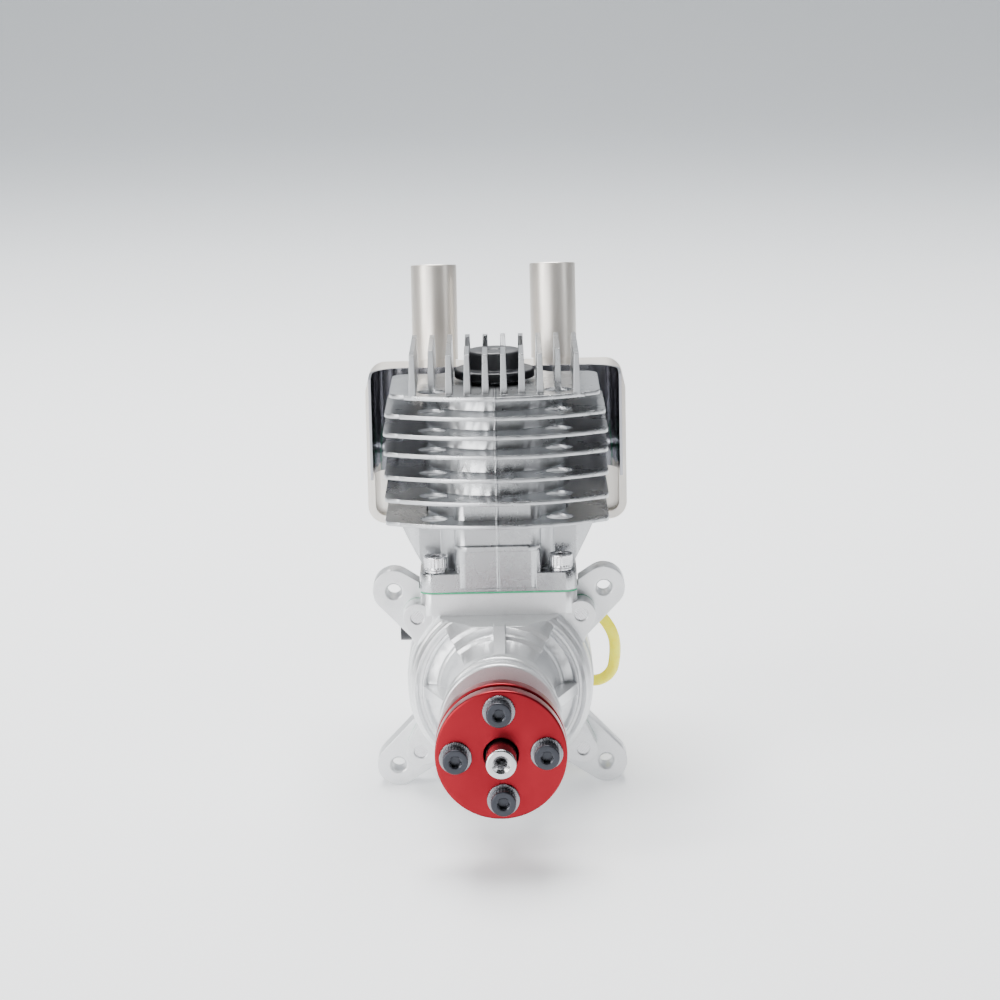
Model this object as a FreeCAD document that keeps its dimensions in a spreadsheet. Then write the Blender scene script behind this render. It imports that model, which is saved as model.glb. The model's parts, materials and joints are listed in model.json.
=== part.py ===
import FreeCAD, Part
import math
import os
import re

import Sketcher

# Single-cylinder two-stroke model aircraft engine with rear exhaust and rear carburettor.
#
# Millimetres.  +Z is up along the cylinder, -Y points forward to the propeller and the crankshaft
# turns about Y.  The origin is on the crankshaft's axis, in the rear face of the mounting lugs.

doc = FreeCAD.newDocument("engine")
sheet = doc.addObject("Spreadsheet::Sheet", "dim")

# ----------------------------------------------------------------------------- driving sizes
SIZES = {
    # running gear
    "bore": 39.0, "stroke": 30.0, "rod_length": 48.0, "cylinder_y": 6.0,
    "crown_height": 14.0, "piston_height": 25.0, "piston_play": 0.05, "squish": 0.7,
    "ring_drop": 2.5, "ring_height": 1.5, "ring_depth": 2.2, "ring_play": 0.04, "crown_thickness": 4.5,
    "piston_wall": 2.8, "boss_gap": 11.0, "boss_radius": 8.0,
    "pin_radius": 5.0, "pin_bore": 2.8, "pin_length": "bore - 2 * pin_inset", "pin_inset": 3.5,
    "clip_wire": 0.5,
    "needle_depth": 1.6, "rod_width": 9.0, "eye_wall": 2.6, "rod_shank": 7.0, "rod_shank_depth": 5.4,
    "crankpin_radius": 5.0, "crankpin_gap": 0.3, "web_radius": 20.8, "web_thickness": 9.5,
    "web_back": 0.5, "web_notch": 9.5,
    # fits
    "snug": 0.01, "running_play": 0.05, "thread_play": 0.02, "gasket": 0.5,
    # main shaft and bearings
    "journal_radius": 7.5, "neck_radius": 7.0, "shaft_radius": 6.0,
    "rear_bearing_radius": 17.5, "rear_bearing_width": 11.0, "rear_bearing_front": 21.2,
    "rear_ball": 2.8, "front_bearing_radius": 12.0, "front_bearing_width": 6.0,
    "front_bearing_front": 48.0, "front_ball": 1.9, "seal_front": 57.0, "seal_width": 6.0,
    "tunnel_radius": 9.0,
    # front crankcase
    "split": 8.0, "case_radius": 27.3, "chamber_radius": 25.2, "chamber_front": 9.7,
    "rim_front": 24.6, "rim_radius": 25.2, "dish_depth": 2.2, "nose_radius": 15.6,
    "nose_start": 43.5, "nose_ring_radius": 16.6, "nose_ring_front": 50.5, "collar_radius": 17.6,
    "collar_back": 57.0, "nose_front": 62.5, "bulge_half_angle": 40.0, "rib_thickness": 3.4,
    "ear_x": "bore / 2 + ear_out", "ear_out": 4.7,
    "ear_z": 20.5, "ear_radius": 4.2, "ear_front": 16.5, "case_screw": 2.0,
    # rear crankcase
    "rear_radius": 27.8, "rear_face": 22.0, "rear_wall": 13.2,
    "lug_x": "ear_x + lug_out", "lug_out": 7.0, "lug_z": 26.7,
    "lug_end": 6.3, "lug_hole": 2.15, "counterbore": 4.3,
    "deck_width": "2 * base_bolt_x + 2 * bolt_side", "deck_front": "base_bolt_y - cylinder_y + bolt_end",
    "deck_back": "base_bolt_y + cylinder_y + bolt_end", "bolt_side": 4.6, "bolt_end": 4.0,
    "deck_top": 27.6, "deck_low": 21.0, "deck_corner": 3.5, "reed_headroom": 0.6,
    "base_bolt_x": "bore / 2 - bolt_tuck_x", "base_bolt_y": "bore / 2 - bolt_tuck_y",
    "bolt_tuck_x": 1.0, "bolt_tuck_y": 0.5,
    # cylinder
    "flange_thickness": 5.5, "spigot_radius": "bore / 2 + spigot_wall", "spigot_wall": 1.3,
    "spigot_drop": 5.5, "barrel_radius": "bore / 2 + barrel_wall", "barrel_wall": 2.1,
    "flare_low": "deck_width - 2 * flare_inset", "flare_inset": 0.85,
    "flare_high": 58.6, "flare_depth": 27.0, "flare_top": 49.0,
    "pad_width": 25.4, "pad_front": 17.4, "pad_top": 54.5, "lip_z": 40.4, "lip_out": 1.3,
    "fin_top": 87.4, "fin_thickness": 1.25, "fin_pitch_high": 5.7, "fin_pitch_low": 6.9,
    "fin_half": 32.9, "fin_half_second": 32.3, "fin_half_top": 30.8, "fin_front": 25.0,
    "fin_back": 20.0, "fin_bow": 60.0, "fin_corner": 4.5,
    "head_fin_pitch": 5.31, "head_fin_top": 99.2, "head_fin_root": 2.1, "head_fin_tip": 1.45,
    "head_fin_front": 20.0, "head_fin_back": 20.5, "head_fin_step": 9.0, "plug_well": 12.2,
    "access_radius": 4.1, "bowl_radius": 13.0, "bowl_depth": 5.4, "plug_radius": 4.5,
    "plug_boss": 8.0, "plug_seat": 88.6, "port_width": 22.0, "port_low": 47.0, "port_height": 11.0,
    "exhaust_face": 34.0, "exhaust_half": 21.0, "exhaust_low": 43.6, "exhaust_high": 61.4,
    "exhaust_bolt_x": 16.0, "transfer_width": 13.0, "transfer_depth": 2.0, "transfer_top": 55.0,
    # fasteners
    "screw_radius": 2.0, "screw_head": 3.5, "screw_head_height": 4.0, "hex_key": 1.6,
    "hex_depth": 2.2, "washer_radius": 4.5, "washer_thickness": 0.9, "base_washer_radius": 3.4,
    "base_bolt_length": 16.0,
    # plug-hole cap
    "cap_flange": 11.9, "cap_flange_top": 91.2, "cap_knob": 8.3, "cap_top": 96.7, "cap_stem": 4.45,
    # propeller hub
    "hub_radius": 18.2, "hub_front": 94.0, "hub_disc": 5.0, "groove_radius": 15.4,
    "groove_width": 2.8, "hub_flange": 5.2, "sleeve_radius": 9.6, "sleeve_back": 58.5,
    "hub_edge": 0.7, "shaft_end": "hub_front - shaft_short", "shaft_short": 4.5,
    "stud_radius": 4.2, "stud_front": "hub_front + stud_out", "stud_out": 9.4, "stud_relief": 0.2,
    "stud_hole_radius": 1.65, "stud_hole_depth": 11.0, "stud_root": 2.5, "stud_clear": 0.6,
    "bolt_circle": 25.0, "hub_clock": 1.8, "prop_bolt_length": 13.0,
    # exhaust system
    "shield_thickness": 0.8, "shield_half": 38.1, "shield_low": 56.0, "shield_high": 87.0,
    "shield_front": 15.0, "shield_corner": 10.6,
    "muffler_half": 40.0, "muffler_low": 38.3, "muffler_high": 84.5, "muffler_front": 36.2,
    "muffler_back": 64.0, "muffler_wall": 1.2, "muffler_corner": 5.5, "rim_width": 2.4,
    "rim_depth": 4.4, "panel_inset": 1.4, "panel_groove": 1.8, "panel_thickness": 1.2,
    "sleeve_out": 5.2, "sleeve_in": 4.2, "muffler_bolt_length": 12.0,
    "tube_x": 18.4, "tube_y": 49.0, "tube_radius": 7.1, "tube_root": 6.4, "tube_grip": 29.0,
    "tube_wall": 0.8, "tube_root_wall": 0.8, "tube_top": 116.0,
    "tube_low": 74.0, "tube_lean": 9.0,
    # intake
    "intake_z": 1.6, "window_width": 24.0, "window_height": 18.0, "reed_plate_width": 42.0,
    "reed_plate_height": 30.0, "reed_plate": 3.0, "reed_width": 20.0, "reed_half": 8.0,
    "reed_apex": 14.2, "reed_wall": 1.6, "petal": 0.4, "intake_screw_x": 14.8,
    "intake_screw_z": 11.0, "block_length": 12.0, "intake_bore": 7.5,
    # carburettor
    "carb_width": 36.0, "carb_height": 28.0, "carb_length": 29.0, "venturi": 7.2,
    "throttle_y": 46.5, "choke_y": 61.0, "spindle_radius": 2.0, "plate_thickness": 0.9,
    "plate_radius": 7.0, "lever_hub": 3.15, "lever_end": 31.3, "lever_reach": 14.0,
    "lever_thickness": 2.4, "choke_end": 22.5, "cover_thickness": 4.0, "cover_screw": 1.5,
    "cover_screw_x": 9.5, "cover_screw_depth": 5.0,
    "needle_radius": 1.9, "needle_out": 9.0, "needle_in": 9.0,
    "needle_z": 5.5, "throat": 6.2, "lever_boss": 4.6, "carb_screw_length": 50.0,
    "insulator_flange": 4.0, "insulator_tube": 12.5,
    # pulse hose
    "hose_radius": 1.75, "hose_bore": 1.05, "nipple_radius": 1.0, "nipple_base": 2.6,
}

for row, alias in enumerate(SIZES, start=1):
    sheet.set(f"A{row}", alias)
    sheet.setAlias(f"B{row}", alias)
for row, size in enumerate(SIZES.values(), start=1):
    sheet.set(f"B{row}", f"={size}")
doc.recompute()


# ----------------------------------------------------------------------------- small helpers
def expression(text):
    """Point each size's name in a formula at its cell."""
    return re.sub(r"\b([a-z][a-z_]*)\b(?!\()", r"dim.\1", str(text))


def number(text):
    """What a formula comes to now, used for a sketch's first drawing."""
    return float(sheet.evalExpression(expression(text)))


def bind(item, **formulas):
    """Tie properties to formulas; a double underscore stands for a dot in a property's name."""
    for name, formula in formulas.items():
        item.setExpression(name.replace("__", "."), expression(formula))


TURN_TO = {
    "z": FreeCAD.Rotation(),
    "y": FreeCAD.Rotation(FreeCAD.Vector(1, 0, 0), 90),
    "x": FreeCAD.Rotation(FreeCAD.Vector(0, 1, 0), 90),
}


def put(item, place, turn=None):
    """Turn an item and tie its base point to three formulas."""
    item.Placement = FreeCAD.Placement(FreeCAD.Vector(), turn or FreeCAD.Rotation())
    bind(item, Placement__Base__x=place[0], Placement__Base__y=place[1], Placement__Base__z=place[2])
    return item


def rod(name, along, radius, length, place):
    """A round bar.  Along y it runs forward (-Y) from its place; along x and z it runs upward."""
    item = doc.addObject("Part::Cylinder", name)
    bind(item, Radius=radius, Height=length)
    return put(item, place, TURN_TO[along])


def cone(name, along, low, high, length, place):
    item = doc.addObject("Part::Cone", name)
    bind(item, Radius1=low, Radius2=high, Height=length)
    return put(item, place, TURN_TO[along])


def torus(name, along, ring, tube, place):
    item = doc.addObject("Part::Torus", name)
    bind(item, Radius1=ring, Radius2=tube)
    return put(item, place, TURN_TO[along])


def ball(name, radius, place):
    item = doc.addObject("Part::Sphere", name)
    bind(item, Radius=radius)
    return put(item, place)


def block(name, sides, corner):
    """A box from its low corner."""
    item = doc.addObject("Part::Box", name)
    bind(item, Length=sides[0], Width=sides[1], Height=sides[2])
    return put(item, corner)


def join(name, items):
    item = doc.addObject("Part::MultiFuse", name)
    item.Shapes = items
    item.Refine = True
    return item


def cut(name, base, tools):
    item = doc.addObject("Part::Cut", name)
    item.Base = base
    item.Tool = tools[0] if len(tools) == 1 else join(name + "_tools", tools)
    item.Refine = True
    return item


def common(name, first, second):
    item = doc.addObject("Part::MultiCommon", name)
    item.Shapes = [first, second]
    return item


def group(name, items):
    """Several separate solids as one object."""
    item = doc.addObject("Part::Compound", name)
    item.Links = items
    return item


def hexagon(name, along, radius, length, place):
    item = doc.addObject("Part::Prism", name)
    item.Polygon = 6
    bind(item, Circumradius=radius, Height=length)
    return put(item, place, TURN_TO[along])


# --- sketched bodies
PLANE_OF = {"z": "XY_Plane", "y": "XZ_Plane", "x": "YZ_Plane"}


def new_sketch(body, normal, offset="0"):
    """A sketch on one of the body's own origin planes, moved along that plane's normal."""
    sketch = body.newObject("Sketcher::SketchObject", body.Name + "_sketch")
    plane = next(f for f in body.Origin.OriginFeatures if f.Role == PLANE_OF[normal])
    sketch.AttachmentSupport = [(plane, "")]
    sketch.MapMode = "FlatFace"
    bind(sketch, AttachmentOffset__Base__z=offset)
    return sketch


def fix_point(sketch, edge, end, place):
    """Tie one point of a sketch to two formulas."""
    for kind, formula in zip(("DistanceX", "DistanceY"), place):
        index = sketch.addConstraint(
            Sketcher.Constraint(kind, -1, 1, edge, end, number(formula)))
        sketch.setExpression(f"Constraints[{index}]", expression(formula))


def draw_polygon(sketch, corners):
    """A closed outline of straight lines, each corner tied to its own pair of formulas."""
    points = [FreeCAD.Vector(number(a), number(b), 0) for a, b in corners]
    for start, end in zip(points, points[1:] + points[:1]):
        sketch.addGeometry(Part.LineSegment(start, end), False)
    count = len(points)
    for edge in range(count):
        sketch.addConstraint(Sketcher.Constraint("Coincident", edge, 2, (edge + 1) % count, 1))
    for edge, corner in enumerate(corners):
        fix_point(sketch, edge, 1, corner)


def arc(center, radius, start, end):
    circle = Part.Circle(FreeCAD.Vector(*center, 0), FreeCAD.Vector(0, 0, 1), radius)
    return Part.ArcOfCircle(circle, start, end)


def set_radius(sketch, edge, formula):
    index = sketch.addConstraint(Sketcher.Constraint("Radius", edge, number(formula)))
    sketch.setExpression(f"Constraints[{index}]", expression(formula))


def draw_strap(sketch, first, first_radius, second, second_radius):
    """The outline of a belt round two circles: two arcs and the two lines that touch both."""
    ax, ay = number(first[0]), number(first[1])
    bx, by = number(second[0]), number(second[1])
    ra, rb = number(first_radius), number(second_radius)
    along = math.atan2(by - ay, bx - ax)
    lean = math.acos((ra - rb) / math.hypot(bx - ax, by - ay))
    left, right = along + lean, along - lean

    def on(center, radius, angle):
        return FreeCAD.Vector(center[0] + radius * math.cos(angle),
                              center[1] + radius * math.sin(angle), 0)

    sketch.addGeometry(arc((ax, ay), ra, left, right + 2 * math.pi), False)
    sketch.addGeometry(Part.LineSegment(on((ax, ay), ra, right), on((bx, by), rb, right)), False)
    sketch.addGeometry(arc((bx, by), rb, right, left), False)
    sketch.addGeometry(Part.LineSegment(on((bx, by), rb, left), on((ax, ay), ra, left)), False)
    for edge in range(4):
        sketch.addConstraint(Sketcher.Constraint("Tangent", edge, 2, (edge + 1) % 4, 1))
    set_radius(sketch, 0, first_radius)
    set_radius(sketch, 2, second_radius)
    fix_point(sketch, 0, 3, first)
    fix_point(sketch, 2, 3, second)


def draw_rounded(sketch, low, high, radius):
    """A rectangle between two corners with one radius at its four corners."""
    x0, y0 = number(low[0]), number(low[1])
    x1, y1 = number(high[0]), number(high[1])
    r = number(radius)
    quarter = math.pi / 2
    middles = [(x1 - r, y1 - r), (x0 + r, y1 - r), (x0 + r, y0 + r), (x1 - r, y0 + r)]
    for turn, middle in enumerate(middles):
        sketch.addGeometry(arc(middle, r, turn * quarter, (turn + 1) * quarter), False)
        after = middles[(turn + 1) % 4]
        angle = (turn + 1) * quarter
        shift = FreeCAD.Vector(r * math.cos(angle), r * math.sin(angle), 0)
        sketch.addGeometry(Part.LineSegment(FreeCAD.Vector(*middle, 0) + shift,
                                            FreeCAD.Vector(*after, 0) + shift), False)
    for edge in range(8):
        sketch.addConstraint(Sketcher.Constraint("Tangent", edge, 2, (edge + 1) % 8, 1))
    for edge in (2, 4, 6):
        sketch.addConstraint(Sketcher.Constraint("Equal", 0, edge))
    sketch.addConstraint(Sketcher.Constraint("Horizontal", 1))
    sketch.addConstraint(Sketcher.Constraint("Vertical", 3))
    set_radius(sketch, 0, radius)
    sides = [("DistanceY", 1, high[1]), ("DistanceX", 3, low[0]),
             ("DistanceY", 5, low[1]), ("DistanceX", 7, high[0])]
    for kind, edge, formula in sides:
        index = sketch.addConstraint(Sketcher.Constraint(kind, -1, 1, edge, 1, number(formula)))
        sketch.setExpression(f"Constraints[{index}]", expression(formula))


def finish_body(body, feature):
    body.Tip = feature
    return body


def padded(name, normal, offset, length, draw, *outline):
    """A body with one sketch, carried `length` along the plane's normal."""
    body = doc.addObject("PartDesign::Body", name)
    sketch = new_sketch(body, normal, offset)
    draw(sketch, *outline)
    pad = body.newObject("PartDesign::Pad", name + "_pad")
    pad.Profile = sketch
    bind(pad, Length=length)
    return finish_body(body, pad)


def slab(name, front, back, low, high, radius):
    """A rounded plate facing forward, between two places along y."""
    return padded(name, "y", f"-({back})", f"{back} - ({front})", draw_rounded, low, high, radius)


def turned(name, axis, corners, place=("0", "0", "0")):
    """A body turned on a lathe: corners are (along the axis, radius) pairs of formulas."""
    body = doc.addObject("PartDesign::Body", name)
    if axis == "y":
        sketch = new_sketch(body, "x")
        draw_polygon(sketch, corners)
        reference = "H_Axis"
    else:
        sketch = new_sketch(body, "y")
        draw_polygon(sketch, [(radius, along) for along, radius in corners])
        reference = "V_Axis"
    turn = body.newObject("PartDesign::Revolution", name + "_turn")
    turn.Profile = sketch
    turn.ReferenceAxis = (sketch, [reference])
    turn.Angle = 360
    put(body, place)
    return finish_body(body, turn)


def mirrored(name, source, normal):
    item = doc.addObject("Part::Mirroring", name)
    item.Source = source
    item.Normal = normal
    return item


def hose_route():
    """The points of the pulse hose, from the crankcase's right side round to the carburettor's.

    The first six bow out past the crankcase and keep their distance from its deck; the last two
    are at the carburettor's nipple.
    """
    deck, carburettor = number("deck_width / 2"), number("carb_width / 2")
    return [
        (deck + 1.1, 9.0, 17.6), (deck + 5.1, 9.0, 16.0), (deck + 8.5, 9.6, 13.1),
        (deck + 11.7, 10.7, 7.3), (deck + 11.9, 14.2, -0.1), (deck + 10.9, 18.7, -6.4),
        (deck + 6.4, 22.9, -10.3), (carburettor + 5.1, 29.7, -10.3),
        (carburettor + 4.5, 39.4, -8.0), (carburettor + 4.5, 45.0, -8.0),
    ]


HOSE_ROUTE = hose_route()
PIECES = []


def piece(name, item):
    """Name a finished sub-part; its label names its file."""
    item.Label = name
    PIECES.append(item)
    return item


def tube(name, along, outer, inner, length, place):
    return cut(name, rod(name + "_outer", along, outer, length, place),
               [rod(name + "_bore", along, inner, length, place)])


def cap_screw(name, along, place, length, radius="screw_radius", head="screw_head"):
    """A socket-head cap screw whose head's underside is at its place.

    Along y the head stands forward (-Y); along z it stands up.
    """
    x, y, z = place
    head_height = "screw_head_height"
    shank_at = {"y": (x, f"{y} + {length}", z), "z": (x, y, f"{z} - {length}")}[along]
    socket_at = {"y": (x, f"{y} - {head_height} + hex_depth", z),
                 "z": (x, y, f"{z} + {head_height} - hex_depth")}[along]
    body = join(name + "_body", [
        rod(name + "_shank", along, radius, length, shank_at),
        rod(name + "_head", along, head, f"{head_height} - 0.35", place),
        cone(name + "_bevel", along, head, f"{head} - 0.35", "0.35",
             {"y": (x, f"{y} - {head_height} + 0.35", z),
              "z": (x, y, f"{z} + {head_height} - 0.35")}[along]),
    ])
    return cut(name, body, [hexagon(name + "_key", along, "hex_key", "hex_depth + 1", socket_at)])


def flipped(name, item):
    """The same thing facing backward: a screw that goes in from the rear."""
    return mirrored(name, item, FreeCAD.Vector(0, 1, 0))


# ----------------------------------------------------------------------------- heights in common
PIN_LOW = "rod_length - stroke / 2"
CROWN_LOW = "rod_length - stroke / 2 + crown_height"
HEAD_INSIDE = "rod_length + stroke / 2 + crown_height + squish"
DECK_SEAT = "deck_top + gasket"
FLANGE_TOP = "deck_top + gasket + flange_thickness"
BOLT_SPOTS = [("base_bolt_x", "cylinder_y - base_bolt_y"), ("-base_bolt_x", "cylinder_y - base_bolt_y"),
              ("base_bolt_x", "cylinder_y + base_bolt_y"), ("-base_bolt_x", "cylinder_y + base_bolt_y")]
EAR_SPOTS = [("ear_x", "ear_z"), ("-ear_x", "ear_z"), ("ear_x", "-ear_z"), ("-ear_x", "-ear_z")]
LUG_SPOTS = [("lug_x", "lug_z"), ("-lug_x", "lug_z"), ("lug_x", "-lug_z"), ("-lug_x", "-lug_z")]


def at_cylinder(radius, length, low, name):
    return rod(name, "z", radius, length, ("0", "cylinder_y", low))


# ----------------------------------------------------------------------------- front crankcase
def bulge_wedge():
    """The sector above the nose between the two leaning ribs, as a fan along the shaft."""
    fan = padded("bulge_fan", "y", "split + gasket", "nose_start - split - gasket", draw_polygon, [
        ("0", "0"), ("-40 * sin(bulge_half_angle)", "40 * cos(bulge_half_angle)"),
        ("40 * sin(bulge_half_angle)", "40 * cos(bulge_half_angle)")])
    cone_body = turned("bulge_cone", "y", [
        ("-split - gasket", "0"), ("-split - gasket", "case_radius - 0.2"),
        ("-20.4", "case_radius - 0.2"), ("-29.6", "22.4"), ("-30.3", "22.8"), ("-31.4", "22.2"),
        ("-31.6", "21"), ("-34.6", "19.6"), ("-35.2", "20"), ("-36.4", "19.4"), ("-36.6", "18.3"),
        ("-nose_start", "nose_radius - 0.4"), ("-nose_start", "0")])
    return common("bulge", fan, cone_body)


def dish_ribs():
    """Radial gussets from the nose to the rim: one on top, one at each side and three below."""
    outline = [("-nose_start + 1", "nose_radius - 3"), ("-nose_start + 1", "nose_radius + 0.4"),
               ("-rim_front + 0.4", "rim_radius - 2.6"), ("-rim_front + 3", "rim_radius - 2.6"),
               ("-rim_front + 3", "nose_radius - 3")]
    ribs = []
    for index, angle in enumerate((90, 130, 180, 230, 270)):
        rib = padded(f"rib_{index}", "x", "-rib_thickness / 2", "rib_thickness", draw_polygon, outline)
        rib.Placement = FreeCAD.Placement(
            FreeCAD.Vector(), FreeCAD.Rotation(FreeCAD.Vector(0, 1, 0), angle))
        ribs.append(rib)
    top = padded("rib_top", "x", "-rib_thickness / 2", "rib_thickness", draw_polygon, [
        ("-nose_start - 4.4", "nose_radius - 2"), ("-nose_start - 4.4", "nose_radius + 0.5"),
        ("-32.9", "deck_low + 0.5"), ("-29", "deck_low + 0.5"), ("-29", "nose_radius - 2")])
    return ribs + [top]


def front_crankcase():
    shell = turned("front_turned", "y", [
        ("-split - gasket", "0"), ("-split - gasket", "case_radius"), ("-rim_front + 5", "case_radius"),
        ("-rim_front + 3.4", "case_radius - 0.5"), ("-rim_front + 3", "rim_radius + 0.9"),
        ("-rim_front + 0.7", "rim_radius + 0.6"), ("-rim_front", "rim_radius"),
        ("-rim_front + 0.5", "rim_radius - 0.8"), ("-rim_front + 1.5", "rim_radius - 1.1"),
        ("-rim_front + 1.5", "rim_radius - 1.9"), ("-rim_front + 0.7", "rim_radius - 2.3"),
        ("-rim_front + 0.9", "rim_radius - 3.0"), ("-rim_front + dish_depth + 0.6", "rim_radius - 3.6"),
        ("-rim_front + dish_depth", "nose_radius + 3.2"),
        ("-rim_front + dish_depth - 1.3", "nose_radius + 2.9"),
        ("-rim_front + dish_depth - 1.7", "nose_radius + 2.2"),
        ("-rim_front - 1", "nose_radius + 1.9"), ("-rim_front - 1.6", "nose_radius + 1.2"),
        ("-rim_front - 5", "nose_radius + 0.5"), ("-nose_start", "nose_radius"),
        ("-nose_ring_front + 5.5", "nose_radius"), ("-nose_ring_front + 4.9", "nose_ring_radius"),
        ("-nose_ring_front + 0.6", "nose_ring_radius"), ("-nose_ring_front", "nose_ring_radius - 0.6"),
        ("-nose_ring_front", "nose_radius"), ("-collar_back - 1.4", "nose_radius"),
        ("-collar_back - 2.6", "collar_radius"), ("-nose_front + 0.5", "collar_radius"),
        ("-nose_front", "collar_radius - 0.5"), ("-nose_front", "0")])
    deck = padded("front_deck", "z", "deck_low", "deck_top - deck_low", draw_rounded,
                  ("-deck_width / 2", "-deck_front"), ("deck_width / 2", "deck_back"), "deck_corner")
    chin = block("front_chin", ("deck_width - 7", "deck_front - split", "deck_low - 8"),
                 ("-deck_width / 2 + 3.5", "-deck_front + 0.4", "8"))
    ahead = block("front_half", ("2 * deck_width", "deck_front - split - gasket", "3 * deck_top"),
                  ("-deck_width", "-deck_front", "-deck_top"))
    ears = []
    for index, (x, z) in enumerate(EAR_SPOTS):
        ears.append(padded(f"ear_{index}", "y", "split + gasket", "ear_front - split - gasket",
                           draw_strap, (x, z), "ear_radius", (f"{x} * 0.62", f"{z} * 0.62"), "9"))
    above = block("above_ledge", ("60", "30", "20"), ("-30", "-deck_front - 30", "deck_low"))
    solid = join("front_solid", [
        cut("front_below_ledge", join("front_round", [shell, bulge_wedge()]), [above]),
        common("front_deck_half", join("front_deck_all", [deck, chin]), ahead),
        *ears, *dish_ribs()])
    holes = [
        rod("front_chamber", "y", "chamber_radius", "chamber_front - split", ("0", "-split", "0")),
        rod("rear_bearing_seat", "y", "rear_bearing_radius + snug", "rear_bearing_front - split",
            ("0", "-split", "0")),
        rod("front_tunnel", "y", "tunnel_radius", "nose_front", ("0", "-split", "0")),
        rod("front_bearing_seat", "y", "front_bearing_radius + snug", "nose_front",
            ("0", "-front_bearing_front + front_bearing_width", "0")),
        at_cylinder("spigot_radius + snug", "deck_top", "deck_low - 5.5", "front_spigot_hole"),
    ]
    for index, (x, z) in enumerate(EAR_SPOTS):
        holes.append(rod(f"ear_thread_{index}", "y", "case_screw + thread_play", "ear_front",
                         (x, "-split + 1", z)))
    for index, (x, y) in enumerate(BOLT_SPOTS[:2]):
        holes.append(rod(f"front_deck_thread_{index}", "z", "screw_radius + thread_play",
                         "base_bolt_length", (x, y, "deck_top - base_bolt_length + 5")))
    return piece("front_crankcase", cut("front_crankcase", solid, holes))


# ----------------------------------------------------------------------------- rear crankcase
def rear_crankcase():
    barrel = turned("rear_turned", "y", [
        ("-split", "0"), ("-split", "rear_radius"), ("rear_wall", "rear_radius"),
        ("rear_wall + 3.2", "rear_radius - 3"), ("rear_face - 1.5", "21"), ("rear_face - 1.5", "0")])
    deck = padded("rear_deck", "z", "deck_low - 8", "deck_top - deck_low + 8", draw_rounded,
                  ("-deck_width / 2", "-deck_front"), ("deck_width / 2", "deck_back"), "deck_corner")
    behind = block("rear_half", ("2 * deck_width", "deck_back + split", "3 * deck_top"),
                   ("-deck_width", "-split", "-deck_top"))
    boss = padded("rear_boss", "y", "-rear_face", "rear_face - 2", draw_rounded,
                  ("-reed_plate_width / 2", "intake_z - reed_plate_height / 2"),
                  ("reed_plate_width / 2", "intake_z + reed_plate_height / 2"), "deck_corner")
    lugs = []
    for index, (x, z) in enumerate(LUG_SPOTS):
        lugs.append(padded(f"lug_{index}", "y", "0", "split", draw_strap, (x, z), "lug_end",
                           (f"{x} * 0.5", f"{z} * 0.52"), "8.6"))
    solid = join("rear_solid", [barrel, common("rear_deck_half", deck, behind), boss, *lugs])
    holes = [
        rod("rear_chamber", "y", "chamber_radius", "rear_wall + split + 1", ("0", "rear_wall", "0")),
        block("intake_window", ("window_width", "rear_face - rear_wall + 2", "window_height"),
              ("-window_width / 2", "rear_wall - 1", "intake_z - window_height / 2")),
        at_cylinder("spigot_radius + snug", "deck_top", "deck_low - 5.5", "rear_spigot_hole"),
        block("reed_recess", ("reed_plate_width + 2", "deck_back", "deck_low"),
              ("-reed_plate_width / 2 - 1", "rear_face",
               "intake_z + reed_plate_height / 2 + reed_headroom - deck_low")),
        block("above_deck", ("deck_width + 1", "deck_front + deck_back", "deck_top"),
              ("-deck_width / 2 - 0.5", "-deck_front", "deck_top")),
    ]
    for index, (x, z) in enumerate(LUG_SPOTS):
        holes.append(rod(f"lug_hole_{index}", "y", "lug_hole", "split + 2", (x, "1", z)))
        holes.append(cone(f"lug_edge_{index}", "y", "lug_hole", "lug_hole + 0.5", "0.5",
                          (x, "-split + 0.5", z)))
    for index, (x, z) in enumerate(EAR_SPOTS):
        holes.append(rod(f"rear_ear_hole_{index}", "y", "case_screw + 0.15", "split + 2", (x, "1", z)))
        holes.append(rod(f"rear_ear_bore_{index}", "y", "screw_head + 0.2", "counterbore + 12",
                         (x, "12", z)))
        holes.append(rod(f"driver_way_{index}", "y", "case_screw + 0.1", "deck_back",
                         (x, "deck_back + 1", z)))
    for index, (x, y) in enumerate(BOLT_SPOTS[2:]):
        holes.append(rod(f"rear_deck_thread_{index}", "z", "screw_radius + thread_play",
                         "base_bolt_length", (x, y, "deck_top - base_bolt_length + 5")))
    for index, (x, z) in enumerate(intake_screw_spots()):
        holes.append(rod(f"intake_thread_{index}", "y", "screw_radius + thread_play", "7",
                         (x, "rear_face + 1", z)))
    holes.append(nipple_rod("pulse_hole", "nipple_base", "5", "-4.5"))
    return piece("rear_crankcase", cut("rear_crankcase", solid, holes))


def nipple_rod(name, radius, length, start):
    """A rod on the line of the hose's first run, from a distance along it."""
    first, second = (FreeCAD.Vector(*point) for point in HOSE_ROUTE[:2])
    along = (second - first).normalize()
    item = doc.addObject("Part::Cylinder", name)
    bind(item, Radius=radius, Height=length)
    turn = FreeCAD.Rotation(FreeCAD.Vector(0, 0, 1), along)
    return put(item, [f"{a} + {b} * ({start})" for a, b in zip(first, along)], turn)


def intake_screw_spots():
    return [(f"{side}intake_screw_x", f"intake_z {sign} intake_screw_z")
            for side in ("", "-") for sign in ("+", "-")]


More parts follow.
